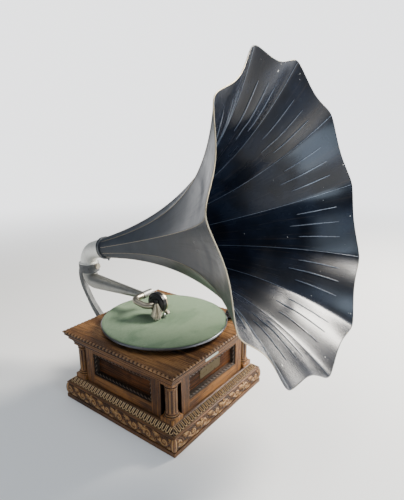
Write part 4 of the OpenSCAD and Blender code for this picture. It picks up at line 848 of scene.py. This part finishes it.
def columns():
    """Fluted corner columns on square blocks, with roped ribs between the flutes."""
    shape = Shape()
    flutes, sides = 10, 150
    turn = np.arange(sides) * TURN / sides
    base = [(16.5, 11.0), (17, 11.6), (17, 13.2), (16.4, 14), (14.6, 14.4), (14.2, 15.2),
            (15.4, 16), (15.8, 16.9), (15.2, 17.8), (13.6, 18.3), (13.1, 19)]
    cap = [(13.1, 79), (13.9, 79.6), (14.3, 80.6), (13.9, 81.6), (13, 82.2), (13.1, 83.6),
           (13.9, 85.2), (15.3, 86.8), (15.9, 87.6), (15.9, 88)]
    shaft_z = np.arange(20, 78.5, 0.6)
    profile = np.array(base + [(13.0, z) for z in shaft_z] + cap)
    z = profile[:, 1]
    fade = smooth(z, 20.5, 23.5) * smooth(-z, -77.5, -74.5)
    place = turn * flutes / TURN
    phase = place % 1 - 0.5
    flute = np.sqrt(np.clip(1 - (phase / 0.30) ** 2, 0, 1))
    rib = np.exp(-((np.abs(phase) - 0.5) / 0.16) ** 2)
    odd = (np.round(place).astype(int) % 2) == 0
    twist = np.abs(np.sin(np.pi * (z[:, None] / 4.6 + (place - np.round(place))[None, :] * 0.9)))
    notch = (1 - twist ** 0.6) * (rib * odd)[None, :]
    radius = profile[:, :1] - (1.0 * flute[None, :] + 1.2 * notch) * fade[:, None]
    # The mark: painted shade in the flutes and notches, wear and painted highlight on the ribs.
    mark = fade[:, None] * (0.62 * flute[None, :] ** 3 + 0.9 * notch - 0.5 * rib[None, :])
    # Painted shade in the grooves of the base and cap rings; painted highlight (glow) on the rings.
    rings = sum(0.95 * np.exp(-((z - d) / 0.7) ** 2) for d in (14.6, 18.8, 82.2))
    glow = sum(0.7 * np.exp(-((z - d) / 0.8) ** 2) for d in (12.4, 16.8, 80.6))
    mark = mark + (rings - glow)[:, None]
    for sx, sy in ((-1, -1), (-1, 1), (1, -1), (1, 1)):
        x, y = sx * COLUMN_C, sy * COLUMN_C
        face = math.atan2(sy, sx) + TURN / flutes / 2
        grid = np.stack([x + radius * np.cos(turn + face), y + radius * np.sin(turn + face),
                         FRAME_Z + z[:, None] + 0 * radius], -1)
        shape.sheet(grid, True, False, mark, caps=True)
        for h, low, high, soft in ((COLUMN_BLOCK / 2, FRAME_Z, FRAME_Z + 11.0, 0.9),
                                   (16, FRAME_TOP - 5, FRAME_TOP, 0.7)):
            shape.box((x - h, y - h, low), (x + h, y + h, high), soft)
    shape.make("fluted_columns", "case", OAK_UPRIGHT, ["corner_columns"], OILED)


def cornice_tag():
    """A small bare strip on the front cornice."""
    shape = Shape()
    shape.box((-51, -164.1, 159.4), (-4, -163.2, 166.4), 0.25)
    shape.make("cornice_tag", "case", TAG)


# Turntable
def fray(angle):
    """How far the felt's edge is worn back at an angle in degrees; most at the front right."""
    a = np.radians(angle)
    ragged = (0.45 * np.sin(23 * a) + 0.35 * np.sin(57 * a + 1) + 0.3 * np.sin(131 * a + 2)
              + 0.25 * np.sin(211 * a))
    worn = np.exp(-(((angle - 312 + 180) % 360 - 180) / 26) ** 2)
    return 0.7 + 0.35 * ragged + worn * (1.7 + 1.3 * ragged)


def felt_disc():
    """The felt: a little uneven, frayed at its edge, and laid loose on the platter."""
    shape, rows = Shape(), []
    around, hole, cut_r = 720, 4.9, PLATTER_R - 1.4
    angle = np.arange(around) * 360 / around
    edge = cut_r - fray(angle)
    a = np.radians(angle)

    def ring(r, z):
        rows.append(np.stack([r * np.cos(a), r * np.sin(a), z + 0 * a], -1))

    for r in (hole, *np.linspace(14, 140, 15), 146, 148.5):
        ring(r, FELT_TOP + (0.14 * np.sin(3 * a + r / 17) * np.sin(r / 23 + 1) - 0.1))
    for cut, h in ((0.9, 1.05), (0.25, 0.8), (0, 0.45), (0.3, 0.05)):
        ring(edge - cut, PLATTER_TOP + h + 0.05 * np.sin(91 * a))
    ring(hole, PLATTER_TOP + 0.05)
    grid = np.array(rows)
    grid[..., 1] += SPINDLE_Y
    shape.sheet(grid, True, True, flip=True)
    made = shape.make("felt_disc", "turntable", FELT, ["platter_felt"], FELTED, sharp=60)
    threads = Shape()
    rng = np.random.default_rng(7)
    for _ in range(420):
        at = rng.normal(312, 24) if rng.random() < 0.7 else rng.uniform(0, 360)
        b = math.radians(at)
        r = PLATTER_R - 1.6 - float(fray(np.array(at)))
        out, bend = rng.uniform(0.5, 1.9), rng.normal(0, 0.012)
        path = [(s * math.cos(b + bend * k), s * math.sin(b + bend * k) + SPINDLE_Y,
                 PLATTER_TOP + 0.95 - 0.22 * k + 0.1)
                for k, s in enumerate((r - 1.2, r + out * 0.5, r + out))]
        threads.tube(path, [0.16, 0.12, 0.05], 4)
    fringe = threads.make("felt_threads", "turntable", FELT, slot=FELTED)


def brush():
    """The record brush: clumps of cream bristles that splay from the holder to the felt."""
    shape = Shape()
    rng = np.random.default_rng(11)
    count, clumps = 1000, 30
    soiled = rng.uniform(0, 1, clumps) ** 3 * 0.7
    for i in range(count):
        share, a = math.sqrt((i + 0.5) / count), math.radians(137.508 * i)
        k = i % clumps
        far, round_ = math.sqrt((k + 0.5) / clumps), math.radians(137.508 * k)
        top = np.array([BRUSH_X + 2.4 * far * math.cos(round_) + 0.3 * share * math.cos(a),
                        BRUSH_Y + 2.4 * far * math.sin(round_) + 0.3 * share * math.sin(a),
                        BRUSH_TOP_Z + 4])
        low = np.array([BRUSH_X - 2.5 + 16.0 * far * math.cos(round_) + 0.9 * share * math.cos(a),
                        BRUSH_Y - 3.0 + 13.5 * far * math.sin(round_) + 0.9 * share * math.sin(a),
                        FELT_TOP + 0.5 + 16 * far ** 3 + rng.uniform(0, 4.0)])
        low[:2] += rng.normal(0, 0.3, 2)
        t = np.linspace(0, 1, 6)[:, None]
        path = top * (1 - t) + low * t
        path[:, :2] += ((low - top)[:2] * (t ** 1.15 - t)
                        + rng.normal(0, 0.3, 2) * np.sin(np.pi * t))
        tone = min(1.0, soiled[k] + rng.uniform(0, 0.12) + (0.5 if i % 11 == 0 else 0))
        shape.tube(path, np.linspace(0.15, 0.27, 6), 4, mark=tone)
    shape.make("brush_tuft", "soundbox", BRISTLE, ["brush_bristles"], "cream_bristle_fabric")


# Governor
def governor_leaves():
    """Three bowed leaf springs, made at rest; the real ones shorten as the friction disc slides to
    their collar.
    """
    shape = Shape()
    low, high = (np.array(corner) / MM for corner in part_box("governor_springs"))
    spring_r, collar_r, rise, slide = 10, 7.05, 2.7, 1.5
    axis_y, axis_z = (low[1] + high[1]) / 2, high[2] - spring_r
    x = np.linspace(low[0], high[0], 44)
    bow = collar_r + (rise * smooth(x, low[0] + 3.5, low[0] + 9)
                      * smooth(-x, 3.5 - high[0], 9 - high[0]))
    edge = np.array([(-1.9, -0.25), (1.9, -0.25), (2, -0.15), (2, 0.15),
                     (1.9, 0.25), (-1.9, 0.25), (-2, 0.15), (-2, -0.15)])
    for i in range(3):
        c, s = math.cos(TURN * i / 3), math.sin(TURN * i / 3)
        across, out = edge[None, :, 0] + 0 * bow[:, None], edge[None, :, 1] + bow[:, None]
        shape.sheet(np.stack([x[:, None] + 0 * out, axis_y + c * across - s * out,
                              axis_z + s * across + c * out], -1), True, caps=True)
    made = shape.make("governor_leaves", "governor", SPRING_STEEL, ["governor_springs"],
                      "machined_brushed_steel")
    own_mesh(made)


# Horn
def horn_place(points):
    """Points in the horn's own frame, axis along +Z from the throat, put on the object."""
    x, y, z = points[..., 0], points[..., 1], points[..., 2] + NECK_LEN
    return np.stack([x, THROAT_Y + LEAN_COS * y - LEAN_SIN * z,
                     THROAT_Z + LEAN_SIN * y + LEAN_COS * z], -1)


def bell(s, angle, inset=0.0):
    """Points of the bell at distances s along it and angles in degrees from the top.

    Each petal runs nearly flat from seam to seam, dips most at the rim, and has a fold across it
    where it turns outwards. inset goes into the sheet from its outer face.
    """
    s, angle = np.broadcast_arrays(np.asarray(s, float), np.asarray(angle, float))

    def radius(x):
        grown = (np.exp(FLARE_RATE * np.maximum(x, 0) / FLARE_LEN) - 1) / (math.exp(FLARE_RATE) - 1)
        return THROAT_R + (FLARE_R - THROAT_R) * grown

    t = np.maximum(s, 0) / FLARE_LEN
    slope = radius(s + 1) - radius(s)
    n = np.hypot(1, slope)
    dip = FLAT_DIP * np.minimum(1, 4 * t) + (SCALLOP - FLAT_DIP) * t ** 6
    phase = PETALS * np.radians(angle - SEAM_PHASE) / 2
    soft = 0.03 + 0.24 * t ** 8
    wave = (np.hypot(np.sin(phase), soft) - soft) / (np.hypot(1, soft) - soft)
    r = radius(s)
    knee = 0.80 + 0.045 * wave
    fold = (0.012 * r * smooth(t, knee - 0.02, knee + 0.02)
            * smooth(-t, -knee - 0.12, -knee - 0.03) * wave)
    r = r * (1 - dip * wave) - fold - inset / n
    x = r * np.sin(np.radians(angle))
    along = s + inset * slope / n - x * math.tan(math.radians(MOUTH_TURN)) * t * t
    return horn_place(np.stack([x, r * np.cos(np.radians(angle)), along], -1))


def horn():
    """The petal horn: painted sheet, seams, embossed ribs and a wired rim."""
    shape = Shape()
    rows, around = 96, PETALS * 36
    s = np.concatenate([[-NECK_LEN], FLARE_LEN * np.linspace(0, 1, rows) ** 0.8])
    angle = np.arange(around) * 360 / around + SEAM_PHASE
    outer = bell(s[:, None], angle[None, :])
    inner = bell(s[:, None], angle[None, :], HORN_WALL)
    shape.sheet(np.concatenate([outer, inner[::-1]]), True, True, flip=True)
    one_side = (rows + 1) * around
    shape.make("petal_bell", "horn", [HORN_OUTSIDE, HORN_INSIDE], ["horn_bell"], PAINTED,
               sharp=20, kinds=[0] * one_side + [1] * one_side)

    lines, folds, ribs, wire = Shape(), Shape(), Shape(), Shape()
    along = FLARE_LEN * np.linspace(0.012, 0.998, 110)
    for k in range(PETALS):
        seam = SEAM_PHASE + 360 / PETALS * k
        lines.tube(bell(along, seam, -0.15), np.linspace(0.4, 0.6, 110), 6)
        folds.tube(bell(along, seam + 0.12, HORN_WALL + 0.15), np.linspace(0.35, 0.6, 110), 6)
        for off, begin, end in ((0.5, 0.80, 0.955), (0.26, 0.825, 0.95), (0.74, 0.825, 0.95)):
            t = np.linspace(begin, end, 26)
            path = bell(FLARE_LEN * t, seam + 360 / PETALS * off, HORN_WALL + 0.45)
            ribs.tube(path, 1.1 * np.sin(np.pi * np.linspace(0.03, 0.97, 26)) ** 0.4, 8)
    wire.tube(bell(FLARE_LEN, angle, HORN_WALL / 2), 0.95, 8, closed=True)
    for part, name, finish in ((lines, "seam_lines", BRASS_SEAM), (folds, "seam_folds", HORN_RIDGE),
                               (ribs, "petal_ribs", HORN_RIDGE), (wire, "rim_wire", RIM)):
        part.make(name, "horn", finish, slot=PAINTED)


for build in (carved_plinth, tongue_band, stepped_cornice, lid, rope_mouldings, columns,
              cornice_tag, felt_disc, brush, governor_leaves, horn):
    build()


# Studio
def lamp(name, at, aim, size, power, colour):
    """A soft rectangular light that faces a point."""
    data = bpy.data.lights.new(name, "AREA")
    data.shape, data.size, data.size_y = "RECTANGLE", size[0], size[1]
    data.energy, data.color = power, colour
    made = put(name, data)
    made.location = at
    made.rotation_euler = (Vector(aim) - Vector(at)).to_track_quat("-Z", "Y").to_euler()


def studio():
    """A plain pale floor that fades into the background, and soft light."""
    pale, pale_level = (0.97, 0.98, 1.0), 2.6
    mesh = bpy.data.meshes.new("floor")
    r = 30
    mesh.from_pydata([(-r, -r, 0), (r, -r, 0), (r, r, 0), (-r, r, 0)], [], [(0, 1, 2, 3)])
    f = Finish("pale_floor")
    x, y = f.parts(f.place)[:2]
    far = f.rise((x * x + y * y) ** 0.5, 900, 3200)
    near_by = f.node("ShaderNodeBsdfPrincipled", None,
                     {"Base Color": (0.90, 0.90, 0.89), "Roughness": 0.75})
    glow = f.node("ShaderNodeEmission", None, {"Color": pale, "Strength": pale_level})
    f.surface(f.node("ShaderNodeMixShader", None, {0: far, 1: near_by, 2: glow}))
    mesh.materials.append(f.material)
    floor = put("floor", mesh)
    floor.location.z = -0.0005
    lamp("key", (1.75, -1.2, 1.9), (0, -0.05, 0.3), (1.05, 1.05), 205, (1, 0.95, 0.87))
    lamp("front_glow", (-0.4, -2.58, 0.8), (0.1, -0.2, 0.5), (0.95, 1.9), 52, (0.66, 0.82, 1))
    lamp("overhead", (-0.3, 0.5, 2.8), (0, 0, 0), (2.2, 2.2), 34, (1, 1, 1))
    world = bpy.data.worlds.new("studio")
    bpy.context.scene.world = world
    f = Finish("studio", world)
    seen = f.node("ShaderNodeBackground", None, {0: pale, 1: pale_level})
    dim = f.node("ShaderNodeBackground", None, {0: (0.68, 0.77, 0.88), 1: 0.28})
    ray = f.node("ShaderNodeLightPath", out="Is Camera Ray")
    f.surface(f.node("ShaderNodeMixShader", None, {0: ray, 1: dim, 2: seen}),
              "ShaderNodeOutputWorld")


studio()
